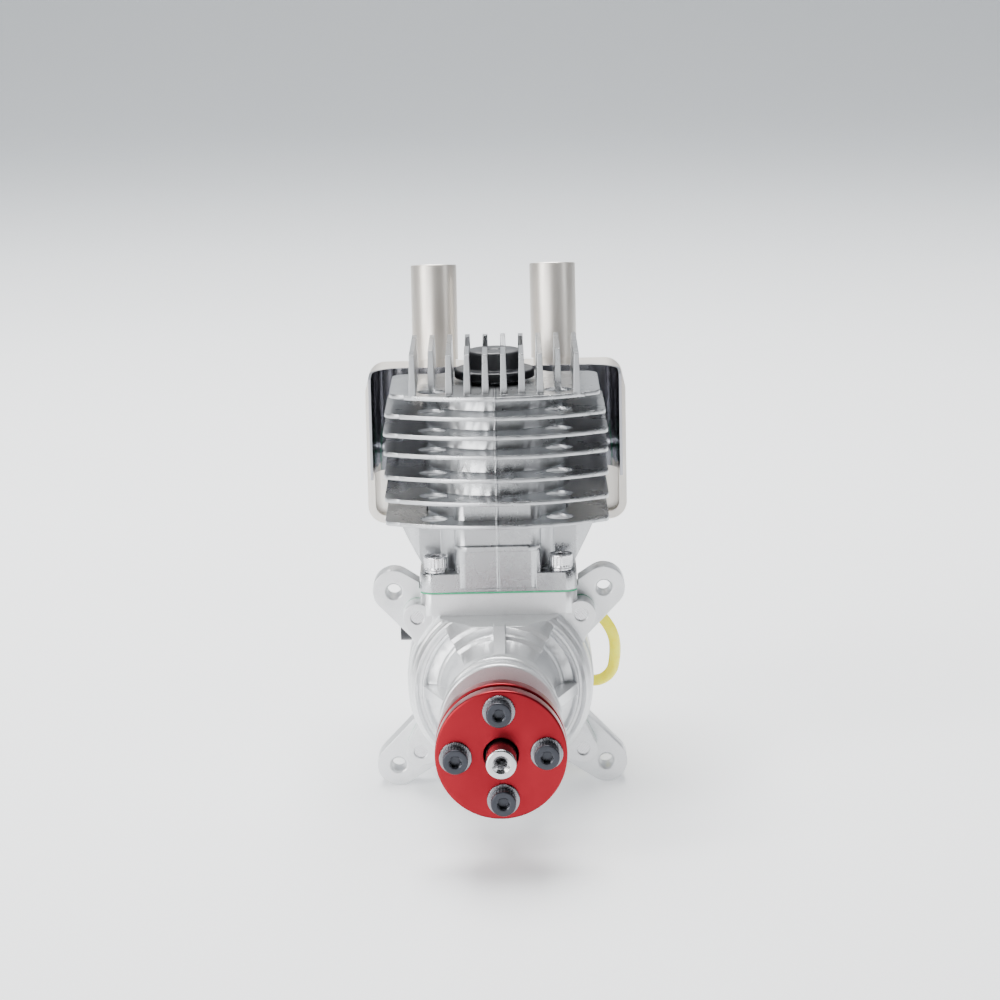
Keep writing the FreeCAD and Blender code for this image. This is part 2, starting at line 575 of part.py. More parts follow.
def case_gasket():
    disc = rod("case_gasket_disc", "y", "case_radius - 0.1", "gasket", ("0", "-split", "0"))
    deck = padded("case_gasket_deck", "y", "split", "gasket", draw_rounded,
                  ("-deck_width / 2 + 0.1", "deck_low - 2"),
                  ("deck_width / 2 - 0.1", "deck_top"), "0.6")
    ears = [padded(f"case_gasket_ear_{i}", "y", "split", "gasket", draw_strap, (x, z),
                   "ear_radius", (f"{x} * 0.62", f"{z} * 0.62"), "9")
            for i, (x, z) in enumerate(EAR_SPOTS)]
    holes = [rod("case_gasket_chamber", "y", "chamber_radius", "3", ("0", "-split + 1", "0")),
             at_cylinder("spigot_radius + snug", "deck_top", "1", "case_gasket_bore")]
    for index, (x, z) in enumerate(EAR_SPOTS):
        holes.append(rod(f"case_gasket_hole_{index}", "y", "case_screw + 0.15", "3",
                         (x, "-split + 1", z)))
    return piece("crankcase_gasket", cut("crankcase_gasket", join("case_gasket_all",
                                                                  [disc, deck, *ears]), holes))


def case_screws():
    """Four cap screws from the rear, heads sunk in the lug plate, tips in the front ears."""
    screws = []
    for index, (x, z) in enumerate(EAR_SPOTS):
        forward = cap_screw(f"case_screw_{index}", "y", (x, "counterbore", z),
                            "ear_front - counterbore - 0.9", "case_screw", "screw_head")
        screws.append(flipped(f"case_screw_rear_{index}", forward))
    return piece("crankcase_screws", group("crankcase_screws", screws))


# ----------------------------------------------------------------------------- cylinder
def fin_plate(name, low, half):
    """A flat fin: bowed front edge, round corners, straight sides and back."""
    sheet_body = padded(name + "_sheet", "z", low, "fin_thickness", draw_rounded,
                        (f"-{half}", "-fin_front - 20"), (half, "fin_back"), "fin_corner")
    bow = rod(name + "_bow", "z", "fin_bow", "fin_thickness", ("0", "fin_bow - fin_front", low))
    corner = padded(name + "_corner", "z", low, "fin_thickness", draw_rounded,
                    (f"-{half}", "-fin_front + 7.4"), (half, "fin_back"), "fin_corner")
    middle = block(name + "_middle", (f"2 * {half} - 9", "fin_front", "fin_thickness"),
                   (f"4.5 - {half}", "-fin_front", low))
    return common(name, join(name + "_all", [corner, common(name + "_front", middle, sheet_body)]), bow)


def fin_stack():
    fins = [fin_plate("fin_a", "fin_top - fin_thickness", "fin_half_top"),
            fin_plate("fin_b", "fin_top - fin_thickness - fin_pitch_high", "fin_half_second")]
    for index in range(2, 7):
        high, low = min(index, 3), max(index - 3, 0)
        fins.append(fin_plate(f"fin_{'abcdefg'[index]}", "fin_top - fin_thickness"
                              f" - {high} * fin_pitch_high - {low} * fin_pitch_low", "fin_half"))
    return fins


def head_fins():
    """Ten upright fins on the head, thinner towards their tops."""
    fins = []
    for index in range(10):
        middle = f"{index - 4.5} * head_fin_pitch"
        step = "head_fin_step" if index in (1, 8) else "0"
        fins.append(padded(f"head_fin_{index}", "y", "-head_fin_back",
                           f"head_fin_back + head_fin_front - {step}", draw_polygon, [
                               (f"{middle} - head_fin_root / 2", "fin_top - 0.6"),
                               (f"{middle} + head_fin_root / 2", "fin_top - 0.6"),
                               (f"{middle} + head_fin_tip / 2", "head_fin_top"),
                               (f"{middle} - head_fin_tip / 2", "head_fin_top")]))
    return fins


def flared_ports():
    """The cast bulges over the transfer passages, wider at the top than at the base."""
    low = ("flare_low / 2", "cylinder_y + flare_depth / 2")
    flare = padded("flare", "y", "-cylinder_y - flare_depth / 2", "flare_depth", draw_polygon, [
        ("-flare_low / 2", "deck_top + gasket + 1"), (low[0], "deck_top + gasket + 1"),
        ("flare_low / 2", "deck_top + gasket + flange_thickness + 0.6"),
        ("flare_high / 2", "flare_top - 1.4"), ("flare_high / 2", "flare_top"),
        ("-flare_high / 2", "flare_top"), ("-flare_high / 2", "flare_top - 1.4"),
        ("-flare_low / 2", "deck_top + gasket + flange_thickness + 0.6")])
    rounding = padded("flare_round", "z", "deck_top", "30", draw_rounded,
                      ("-flare_high / 2", "cylinder_y - flare_depth / 2"),
                      ("flare_high / 2", "cylinder_y + flare_depth / 2"), "6")
    return common("flared_ports", flare, rounding)


def front_pad():
    """The flat-faced cast pad on the front of the lower cylinder, with a lip half way up."""
    body = padded("pad_body", "z", "deck_top + gasket + 1", "pad_top - deck_top - gasket - 1",
                  draw_rounded, ("-pad_width / 2", "-pad_front"), ("pad_width / 2", "0"), "3")
    lip = padded("pad_lip", "z", "lip_z", "1.6", draw_rounded,
                 ("-pad_width / 2", "-pad_front - lip_out"), ("pad_width / 2", "0"), "4")
    return [body, lip]


def cylinder():
    flange = padded("cylinder_flange", "z", DECK_SEAT, "flange_thickness", draw_rounded,
                    ("-deck_width / 2", "-deck_front"), ("deck_width / 2", "deck_back"), "deck_corner")
    barrel = at_cylinder("barrel_radius", f"fin_top - ({DECK_SEAT})", DECK_SEAT, "barrel")
    spigot = at_cylinder("spigot_radius", "spigot_drop + 1", f"{DECK_SEAT} - spigot_drop", "spigot")
    outlet = padded("outlet", "y", "-exhaust_face", "exhaust_face - cylinder_y", draw_rounded,
                    ("-exhaust_half", "exhaust_low"), ("exhaust_half", "exhaust_high"), "3")
    plug_boss = at_cylinder("plug_boss", "plug_seat - fin_top + 2", "fin_top - 2", "plug_boss_rod")
    well = at_cylinder("plug_well", "20", "fin_top", "well")
    fins = cut("head_fins", join("head_fins_all", head_fins()), [well])
    solid = join("cylinder_solid", [flange, barrel, spigot, flared_ports(), outlet, plug_boss, fins,
                                    *front_pad(), *fin_stack()])
    holes = [
        at_cylinder("bore / 2", f"{HEAD_INSIDE} - ({DECK_SEAT}) + spigot_drop + 1",
                    f"{DECK_SEAT} - spigot_drop - 1", "bore_hole"),
        cone("bowl", "z", "bowl_radius", "plug_radius + 1.5", "bowl_depth",
             ("0", "cylinder_y", HEAD_INSIDE)),
        at_cylinder("plug_radius", "20", HEAD_INSIDE, "plug_thread"),
        block("exhaust_port", ("port_width", "exhaust_face", "port_height"),
              ("-port_width / 2", "cylinder_y + 10", "port_low")),
        block("transfer_left", ("transfer_depth", "transfer_width", "transfer_top - deck_top + 6"),
              ("-bore / 2 - transfer_depth + 0.6", "cylinder_y - transfer_width / 2", "deck_top - 6")),
        block("transfer_right", ("transfer_depth", "transfer_width", "transfer_top - deck_top + 6"),
              ("bore / 2 - 0.6", "cylinder_y - transfer_width / 2", "deck_top - 6")),
    ]
    for index, (x, y) in enumerate(BOLT_SPOTS):
        holes.append(rod(f"base_hole_{index}", "z", "screw_radius + 0.2", "20", (x, y, "deck_top - 1")))
        holes.append(rod(f"access_{index}", "z", "access_radius",
                         f"fin_top - ({FLANGE_TOP}) + 1", (x, y, FLANGE_TOP)))
    for side in ("", "-"):
        holes.append(rod(f"exhaust_thread{side}", "y", "screw_radius + thread_play", "9",
                         (f"{side}exhaust_bolt_x", "exhaust_face + 1", EXHAUST_MIDDLE)))
    return piece("cylinder", cut("cylinder", solid, holes))


EXHAUST_MIDDLE = "(exhaust_low + exhaust_high) / 2"


def base_gasket():
    sheet_body = padded("base_gasket_sheet", "z", "deck_top", "gasket", draw_rounded,
                        ("-deck_width / 2", "-deck_front"), ("deck_width / 2", "deck_back"),
                        "deck_corner")
    holes = [at_cylinder("spigot_radius + snug", "2", "deck_top - 1", "base_gasket_bore")]
    for index, (x, y) in enumerate(BOLT_SPOTS):
        holes.append(rod(f"base_gasket_hole_{index}", "z", "screw_radius + 0.2", "3",
                         (x, y, "deck_top - 1")))
    return piece("cylinder_base_gasket", cut("cylinder_base_gasket", sheet_body, holes))


def base_bolts():
    bolts, washers = [], []
    for index, (x, y) in enumerate(BOLT_SPOTS):
        bolts.append(cap_screw(f"base_bolt_{index}", "z", (x, y, f"{FLANGE_TOP} + washer_thickness"),
                               "base_bolt_length"))
        washers.append(tube(f"base_washer_{index}", "z", "base_washer_radius",
                            "screw_radius + thread_play", "washer_thickness", (x, y, FLANGE_TOP)))
    piece("cylinder_base_bolts", group("cylinder_base_bolts", bolts))
    piece("cylinder_bolt_washers", group("cylinder_bolt_washers", washers))


def plug_hole_cap():
    """The moulded cap that closes the plug hole: flange, knob and stem."""
    return piece("plug_hole_cap", turned("plug_hole_cap", "z", [
        (HEAD_INSIDE + " + bowl_depth", "0"), (HEAD_INSIDE + " + bowl_depth", "cap_stem - 0.8"),
        (HEAD_INSIDE + " + bowl_depth + 0.8", "cap_stem"), ("plug_seat", "cap_stem"),
        ("plug_seat", "cap_flange - 0.4"), ("plug_seat + 0.4", "cap_flange"),
        ("cap_flange_top - 0.8", "cap_flange"), ("cap_flange_top", "cap_flange - 0.8"),
        ("cap_flange_top", "cap_knob + 0.5"), ("cap_flange_top + 0.5", "cap_knob"),
        ("cap_top - 0.8", "cap_knob - 0.1"), ("cap_top", "cap_knob - 0.9"), ("cap_top", "0")],
        ("0", "cylinder_y", "0")))


# ----------------------------------------------------------------------------- piston and rod
def piston():
    blank = turned("piston_blank", "z", [
        (f"{CROWN_LOW} - piston_height", "bore / 2 - piston_play - piston_wall"),
        (f"{CROWN_LOW} - piston_height", "bore / 2 - piston_play"),
        (f"{CROWN_LOW} - 0.6", "bore / 2 - piston_play"), (CROWN_LOW, "bore / 2 - piston_play - 0.6"),
        (CROWN_LOW, "0"), (f"{CROWN_LOW} - crown_thickness", "0"),
        (f"{CROWN_LOW} - crown_thickness", "bore / 2 - piston_play - piston_wall")],
        ("0", "cylinder_y", "0"))
    bosses = cut("bosses", rod("boss_bar", "y", "boss_radius", "bore - 4",
                               ("0", "cylinder_y + bore / 2 - 2", PIN_LOW)),
                 [rod("boss_gap_bar", "y", "boss_radius + 1", "boss_gap",
                      ("0", "cylinder_y + boss_gap / 2", PIN_LOW))])
    solid = join("piston_solid", [blank, bosses])
    groove = tube("ring_groove", "z", "bore / 2 + 2", "bore / 2 - ring_depth - 0.2",
                  "ring_height + 2 * snug",
                  ("0", "cylinder_y", f"{CROWN_LOW} - ring_drop - ring_height - snug"))
    pin_hole = rod("pin_hole", "y", "pin_radius + snug", "bore + 2",
                   ("0", "cylinder_y + bore / 2 + 1", PIN_LOW))
    side_cuts = [block(f"skirt_cut{side}", ("8", "16", "9"),
                       (x, "cylinder_y - 8", f"{CROWN_LOW} - piston_height - 1"))
                 for side, x in (("_left", "-bore / 2 - 2"), ("_right", "bore / 2 - 6"))]
    return piece("piston", cut("piston", solid, [groove, pin_hole, *side_cuts]))


def piston_parts():
    ring = tube("ring_whole", "z", "bore / 2 - ring_play", "bore / 2 - ring_depth", "ring_height",
                ("0", "cylinder_y", f"{CROWN_LOW} - ring_drop - ring_height"))
    gap = block("ring_gap", ("0.6", "6", "ring_height + 2"),
                ("-0.3", "cylinder_y - bore / 2 - 2", f"{CROWN_LOW} - ring_drop - ring_height - 1"))
    piece("piston_ring", cut("piston_ring", ring, [gap]))
    piece("gudgeon_pin", tube("gudgeon_pin", "y", "pin_radius", "pin_bore", "pin_length",
                              ("0", "cylinder_y + pin_length / 2", PIN_LOW)))
    clips = [torus(f"clip_{name}", "y", "pin_radius - clip_wire", "clip_wire - 0.02",
                   ("0", f"cylinder_y {sign} (pin_length / 2 + clip_wire)", PIN_LOW))
             for name, sign in (("front", "-"), ("rear", "+"))]
    piece("gudgeon_clips", group("gudgeon_clips", clips))


def connecting_rod():
    small = "pin_radius + needle_depth + eye_wall"
    big = "crankpin_radius + needle_depth + eye_wall"
    start, end = ("0", PIN_LOW), ("0", "-stroke / 2")
    blade = padded("rod_blade", "y", "-cylinder_y - rod_shank_depth / 2", "rod_shank_depth",
                   draw_strap, start, "rod_shank / 2 + 0.6", end, "rod_shank / 2 + 1.4")
    pocket = padded("rod_pocket", "y", "-cylinder_y - rod_shank_depth", "2 * rod_shank_depth",
                    draw_strap, ("0", f"{PIN_LOW} - 13"), "1.4",
                    ("0", "-stroke / 2 + 14"), "2")
    web = block("rod_web", ("20", "rod_shank_depth - 3.2", "40"),
                ("-10", "cylinder_y - rod_shank_depth / 2 + 1.6", "-stroke / 2 + 8"))
    shank = cut("rod_shank_body", blade, [cut("rod_pockets", pocket, [web])])
    eyes = [rod("small_eye", "y", small, "rod_width", ("0", "cylinder_y + rod_width / 2", PIN_LOW)),
            rod("big_eye", "y", big, "rod_width", ("0", "cylinder_y + rod_width / 2", "-stroke / 2"))]
    holes = [rod("small_bore", "y", "pin_radius + needle_depth + snug", "20",
                 ("0", "cylinder_y + 10", PIN_LOW)),
             rod("big_bore", "y", "crankpin_radius + needle_depth + snug", "20",
                 ("0", "cylinder_y + 10", "-stroke / 2"))]
    piece("connecting_rod", cut("connecting_rod", join("rod_solid", [shank, *eyes]), holes))
    piece("small_end_bearing", tube("small_end_bearing", "y", "pin_radius + needle_depth",
                                    "pin_radius + snug", "rod_width - 0.4",
                                    ("0", "cylinder_y + rod_width / 2 - 0.2", PIN_LOW)))
    piece("big_end_bearing", tube("big_end_bearing", "y", "crankpin_radius + needle_depth",
                                  "crankpin_radius + snug", "rod_width - 0.4",
                                  ("0", "cylinder_y + rod_width / 2 - 0.2", "-stroke / 2")))
    piece("crankpin", rod("crankpin", "y", "crankpin_radius", "rear_wall - 1 - web_back - crankpin_gap",
                          ("0", "rear_wall - 1", "-stroke / 2")))


# ----------------------------------------------------------------------------- crankshaft
def crankshaft():
    shaft = turned("shaft_turned", "y", [
        ("web_back", "0"), ("web_back", "web_radius - 0.6"), ("web_back - 0.6", "web_radius"),
        ("web_back - web_thickness + 0.6", "web_radius"),
        ("web_back - web_thickness", "web_radius - 0.6"), ("web_back - web_thickness", "9.5"),
        ("-rear_bearing_front + rear_bearing_width", "9.5"),
        ("-rear_bearing_front + rear_bearing_width", "journal_radius"),
        ("-rear_bearing_front - 1", "journal_radius"), ("-rear_bearing_front - 1.5", "neck_radius"),
        ("-front_bearing_front + front_bearing_width + 0.8", "neck_radius"),
        ("-front_bearing_front + front_bearing_width", "neck_radius"),
        ("-front_bearing_front + front_bearing_width", "shaft_radius"),
        ("-shaft_end + 0.5", "shaft_radius"), ("-shaft_end", "shaft_radius - 0.5"),
        ("-shaft_end", "0")])
    notches = [block(f"web_cut{side}", ("web_notch", "web_thickness + 2", "30"),
                     (x, "web_back - web_thickness - 0.5", "-30"))
               for side, x in (("_left", "-web_radius - 1"), ("_right", "web_radius + 1 - web_notch"))]
    stud_hole = rod("stud_thread", "y", "stud_root + thread_play", "12",
                    ("0", "-shaft_end + 11", "0"))
    return piece("crankshaft", cut("crankshaft", shaft, [*notches, stud_hole]))


def ball_bearing(name, outside, inside, width, front, ball_size, count):
    """Grooved rings and their balls; the front face lies at -front."""
    pitch = f"({outside} + {inside}) / 2"
    middle = f"-{front} + {width} / 2"
    inner_land, outer_land = f"{pitch} - 0.6 * {ball_size}", f"{pitch} + 0.6 * {ball_size}"
    place = ("0", f"-{front} + {width}", "0")

    def race(part, big, small):
        ring = tube(f"{name}_{part}_ring", "y", big, small, width, place)
        groove = torus(f"{name}_{part}_groove", "y", pitch, f"{ball_size} + 0.03", ("0", middle, "0"))
        piece(f"{name}_{part}", cut(f"{name}_{part}", ring, [groove]))

    race("outer_ring", outside, outer_land)
    race("inner_ring", inner_land, f"{inside} + snug")
    balls = []
    for index in range(count):
        angle = 360.0 / count * index
        balls.append(ball(f"{name}_ball_{index}", ball_size,
                          (f"({pitch}) * cos({angle})", middle, f"({pitch}) * sin({angle})")))
    piece(f"{name}_balls", group(f"{name}_balls", balls))


def shaft_seal():
    lip_back = "-seal_front + seal_width"
    piece("shaft_seal", turned("shaft_seal", "y", [
        (lip_back, "front_bearing_radius - 1.4"), (lip_back, "front_bearing_radius"),
        ("-seal_front", "front_bearing_radius"), ("-seal_front", "sleeve_radius + 0.4"),
        ("-seal_front + 1.2", "shaft_radius + running_play"),
        ("-seal_front + 2.4", "shaft_radius + running_play"),
        ("-seal_front + 2.2", "front_bearing_radius - 1.4")]))


# ----------------------------------------------------------------------------- propeller hub
def prop_bolt_spots():
    spots = []
    for index in range(4):
        angle = f"hub_clock + {90 * index}"
        spots.append((f"bolt_circle / 2 * sin({angle})", f"bolt_circle / 2 * cos({angle})"))
    return [("-" + x if not x.startswith("-") else x, z) for x, z in spots]


def propeller_hub():
    disc_back = "-hub_front + hub_disc"
    flange_front = "-hub_front + hub_disc + groove_width"
    flange_back = flange_front + " + hub_flange"
    spool = turned("hub_spool", "y", [
        ("-hub_front", "0"), ("-hub_front", "hub_radius - hub_edge"),
        ("-hub_front + hub_edge", "hub_radius"), (f"{disc_back} - 0.4", "hub_radius"),
        (disc_back, "hub_radius - 0.4"), (disc_back, "groove_radius"),
        (flange_front, "groove_radius"), (flange_front, "hub_radius - 0.4"),
        (f"{flange_front} + 0.4", "hub_radius"), (f"{flange_back} - hub_edge", "hub_radius"),
        (flange_back, "hub_radius - hub_edge"), (flange_back, "sleeve_radius + 1.2"),
        (f"{flange_back} + 1.2", "sleeve_radius"), ("-sleeve_back - 0.4", "sleeve_radius"),
        ("-sleeve_back", "sleeve_radius - 0.4"), ("-sleeve_back", "0")])
    holes = [rod("hub_bore", "y", "shaft_radius + snug", "shaft_end - sleeve_back + 1.05",
                 ("0", "-sleeve_back + 1", "0")),
             rod("hub_stud_hole", "y", "stud_radius + stud_clear", "12", ("0", "-shaft_end + 2", "0"))]
    for index, (x, z) in enumerate(prop_bolt_spots()):
        holes.append(rod(f"hub_thread_{index}", "y", "screw_radius + thread_play",
                         "prop_bolt_length + 2", (x, "-hub_front + prop_bolt_length", z)))
    piece("propeller_hub", cut("propeller_hub", spool, holes))


def centre_stud():
    """The steel stud in the shaft's end that centres the propeller; its tip is drilled and tapped."""
    body = turned("stud_turned", "y", [
        ("-stud_front", "0"), ("-stud_front", "stud_radius - 0.6"),
        ("-stud_front + 0.6", "stud_radius"), ("-hub_front", "stud_radius"),
        ("-hub_front", "stud_radius - stud_relief"),
        ("-shaft_end - 0.05", "stud_radius - stud_relief"),
        ("-shaft_end - 0.05", "stud_root"), ("-shaft_end + 10.5", "stud_root"),
        ("-shaft_end + 10.5", "0")])
    holes = [rod("stud_tap", "y", "stud_hole_radius", "stud_hole_depth + 1",
                 ("0", "-stud_front + stud_hole_depth", "0")),
             cone("stud_sink", "y", "stud_hole_radius", "stud_hole_radius + 0.9", "0.9",
                  ("0", "-stud_front + 0.9", "0"))]
    piece("centre_stud", cut("centre_stud", body, holes))


def propeller_bolts():
    bolts, washers = [], []
    for index, (x, z) in enumerate(prop_bolt_spots()):
        bolts.append(cap_screw(f"prop_bolt_{index}", "y", (x, "-hub_front - washer_thickness", z),
                               "prop_bolt_length"))
        washers.append(tube(f"prop_washer_{index}", "y", "washer_radius",
                            "screw_radius + thread_play", "washer_thickness", (x, "-hub_front", z)))
    piece("propeller_bolts", group("propeller_bolts", bolts))
    piece("propeller_bolt_washers", group("propeller_bolt_washers", washers))


# ----------------------------------------------------------------------------- exhaust
SHIELD_FRONT = "exhaust_face + gasket"
FLANGE_FRONT = "exhaust_face + gasket + shield_thickness"
PANEL_FRONT = "muffler_front + panel_inset"
PANEL_BACK = "muffler_front + panel_inset + panel_thickness"
TUB_FRONT = "muffler_front + rim_depth"
EXHAUST_SPOTS = [("exhaust_bolt_x", EXHAUST_MIDDLE), ("-exhaust_bolt_x", EXHAUST_MIDDLE)]


def exhaust_holes(name, front, back, radius="screw_radius + 0.2"):
    """The port's window and the two bolt holes through a plate of the exhaust joint."""
    length = f"{back} - ({front}) + 2"
    holes = [block(name + "_window", ("port_width", length, "port_height"),
                   ("-port_width / 2", f"{front} - 1", "port_low"))]
    for index, (x, z) in enumerate(EXHAUST_SPOTS):
        holes.append(rod(f"{name}_hole_{index}", "y", radius, length, (x, f"{back} + 1", z)))
    return holes


def inset(low_high, amount):
    (x0, z0), (x1, z1) = low_high
    return [(f"{x0} + {amount}", f"{z0} + {amount}"), (f"{x1} - ({amount})", f"{z1} - ({amount})")]


MUFFLER_SIDES = [("-muffler_half", "muffler_low"), ("muffler_half", "muffler_high")]


def exhaust_gasket():
    plate = slab("exhaust_gasket_plate", "exhaust_face", SHIELD_FRONT,
                 ("-exhaust_half", "exhaust_low"), ("exhaust_half", "exhaust_high"), "3")
    piece("exhaust_gasket", cut("exhaust_gasket", plate,
                                exhaust_holes("exhaust_gasket", "exhaust_face", SHIELD_FRONT)))


def heat_shield():
    """A thin sheet folded round the back of the fins, held between gasket and muffler."""
    outer = padded("shield_outer", "z", "shield_low", "shield_high - shield_low", draw_rounded,
                   ("-shield_half", "shield_front - 26"), ("shield_half", FLANGE_FRONT),
                   "shield_corner")
    inner = padded("shield_inner", "z", "shield_low - 1", "shield_high - shield_low + 2",
                   draw_rounded, ("-shield_half + shield_thickness", "shield_front - 27"),
                   ("shield_half - shield_thickness", SHIELD_FRONT),
                   "shield_corner - shield_thickness")
    ahead = block("shield_ahead", ("3 * shield_half", "30", "80"),
                  ("-1.5 * shield_half", "shield_front - 30", "shield_low - 20"))
    tab = block("shield_tab", ("2 * exhaust_half - 2", "shield_thickness",
                               "shield_low - exhaust_low + 1"),
                ("-exhaust_half + 1", SHIELD_FRONT, "exhaust_low"))
    sheet_body = join("shield_sheet", [cut("shield_fold", outer, [inner, ahead]), tab])
    piece("heat_shield", cut("heat_shield", sheet_body,
                             exhaust_holes("heat_shield", SHIELD_FRONT, FLANGE_FRONT)))


def muffler_front_shell():
    """The front half: a rim, a groove and a raised panel that carries the inlet flange."""
    plate = slab("front_shell_plate", "muffler_front", TUB_FRONT, *MUFFLER_SIDES, "muffler_corner")
    pocket = slab("front_shell_pocket", "muffler_front - 1", f"{TUB_FRONT} - panel_thickness",
                  *inset(MUFFLER_SIDES, "rim_width"), "muffler_corner - rim_width")
    raised = inset(MUFFLER_SIDES, "rim_width + panel_groove")
    panel = slab("front_shell_panel", PANEL_FRONT, TUB_FRONT, *raised, "2")
    flange = slab("front_shell_flange", FLANGE_FRONT, f"{PANEL_FRONT} + 0.4",
                  ("-exhaust_half + 1", "exhaust_low"), ("exhaust_half - 1", "exhaust_high"), "3")
    hollow = slab("front_shell_hollow", PANEL_BACK, f"{TUB_FRONT} + 1",
                  *inset(raised, "panel_thickness"), "0.9")
    solid = join("front_shell_solid", [cut("front_shell_rim", plate, [pocket]), panel, flange])
    piece("muffler_front_shell", cut("muffler_front_shell", solid, [
        hollow, *exhaust_holes("front_shell", FLANGE_FRONT, PANEL_BACK)]))


def leaning(name, x, radius, length, low):
    """A rod on an outlet tube's line, from a height upward."""
    item = doc.addObject("Part::Cylinder", name)
    bind(item, Radius=radius, Height=f"({length}) / cos(tube_lean)")
    put(item, (x, f"tube_y + ({low} - muffler_high) * tan(tube_lean)", low),
        FreeCAD.Rotation(FreeCAD.Vector(1, 0, 0), -9))
    bind(item, Placement__Rotation__Axis__x="1", Placement__Rotation__Axis__y="0",
         Placement__Rotation__Axis__z="0", Placement__Rotation__Angle="-tube_lean")
    return item


def muffler_rear_shell():
    """The deep rear half, with the two sleeves that let a key reach the bolts."""
    outer = slab("tub_outer", TUB_FRONT, "muffler_back", *MUFFLER_SIDES, "muffler_corner")
    inner = slab("tub_inner", f"{TUB_FRONT} - 1", "muffler_back - muffler_wall",
                 *inset(MUFFLER_SIDES, "muffler_wall"), "muffler_corner - muffler_wall")
    sleeves = [rod(f"sleeve_{index}", "y", "sleeve_out", f"muffler_back - ({PANEL_BACK})",
                   (x, "muffler_back", z)) for index, (x, z) in enumerate(EXHAUST_SPOTS)]
    solid = join("tub", [cut("tub_shell", outer, [inner]), *sleeves])
    ways = [rod(f"sleeve_way_{index}", "y", "sleeve_in", "muffler_back",
                (x, "muffler_back + 1", z)) for index, (x, z) in enumerate(EXHAUST_SPOTS)]
    ways += [leaning(f"tube_way_{side}", x, "tube_root + snug", "20", "muffler_high - 10")
             for side, x in (("left", "-tube_x"), ("right", "tube_x"))]
    piece("muffler_rear_shell", cut("muffler_rear_shell", solid, ways))


def outlet_tube(side, x):
    name = f"outlet_tube_{side}"
    length = "tube_top - tube_low"
    root = leaning(name + "_root", x, "tube_root", length, "tube_low")
    grip = leaning(name + "_grip", x, "tube_radius", "tube_grip", "tube_top - tube_grip")
    way = leaning(name + "_way", x, "tube_root - tube_root_wall", f"{length} + 4", "tube_low - 2")
    mouth = leaning(name + "_mouth", x, "tube_radius - tube_wall", "tube_grip",
                    "tube_top - tube_grip + tube_wall + 0.4")
    piece(name, cut(name, join(name + "_outer", [root, grip]), [way, mouth]))


def muffler_bolts():
    bolts = []
    for index, (x, z) in enumerate(EXHAUST_SPOTS):
        forward = cap_screw(f"muffler_bolt_{index}", "y", (x, f"-({PANEL_BACK})", z),
                            "muffler_bolt_length")
        bolts.append(flipped(f"muffler_bolt_rear_{index}", forward))
    piece("muffler_bolts", group("muffler_bolts", bolts))


# ----------------------------------------------------------------------------- intake
PLATE_FRONT = "rear_face + gasket"
PLATE_BACK = "rear_face + gasket + reed_plate"
BLOCK_BACK = "rear_face + gasket + reed_plate + block_length"
CARB_FRONT = "rear_face + 2 * gasket + reed_plate + block_length"
CARB_BACK = "rear_face + 2 * gasket + reed_plate + block_length + carb_length"
REED_SIDES = [("-reed_plate_width / 2", "intake_z - reed_plate_height / 2"),
              ("reed_plate_width / 2", "intake_z + reed_plate_height / 2")]
CARB_SIDES = [("-carb_width / 2", "intake_z - carb_height / 2"),
              ("carb_width / 2", "intake_z + carb_height / 2")]
LONG_SPOTS = [("intake_screw_x", "intake_z + intake_screw_z"),
              ("-intake_screw_x", "intake_z - intake_screw_z")]
SHORT_SPOTS = [("intake_screw_x", "intake_z - intake_screw_z"),
               ("-intake_screw_x", "intake_z + intake_screw_z")]


def screw_ways(name, spots, front, back):
    return [rod(f"{name}_screw_way_{index}", "y", "screw_radius + 0.15", f"{back} - ({front}) + 2",
                (x, f"{back} + 1", z)) for index, (x, z) in enumerate(spots)]


def reed_gasket():
    plate = slab("reed_gasket_plate", "rear_face", PLATE_FRONT, *REED_SIDES, "deck_corner")
    window = block("reed_gasket_window", ("window_width", "4", "window_height"),
                   ("-window_width / 2", "rear_face - 2", "intake_z - window_height / 2"))
    piece("reed_gasket", cut("reed_gasket", plate, [
        window, *screw_ways("reed_gasket", LONG_SPOTS + SHORT_SPOTS, "rear_face", PLATE_FRONT)]))


def wedge(name, half, width, apex, back):
    """The reed block's nose: a wedge whose edge points into the crankcase."""
    return padded(name, "x", f"-({width}) / 2", width, draw_polygon, [
        (apex, "intake_z - 0.8"), (back, f"intake_z - ({half})"), (back, f"intake_z + {half}"),
        (apex, "intake_z + 0.8")])


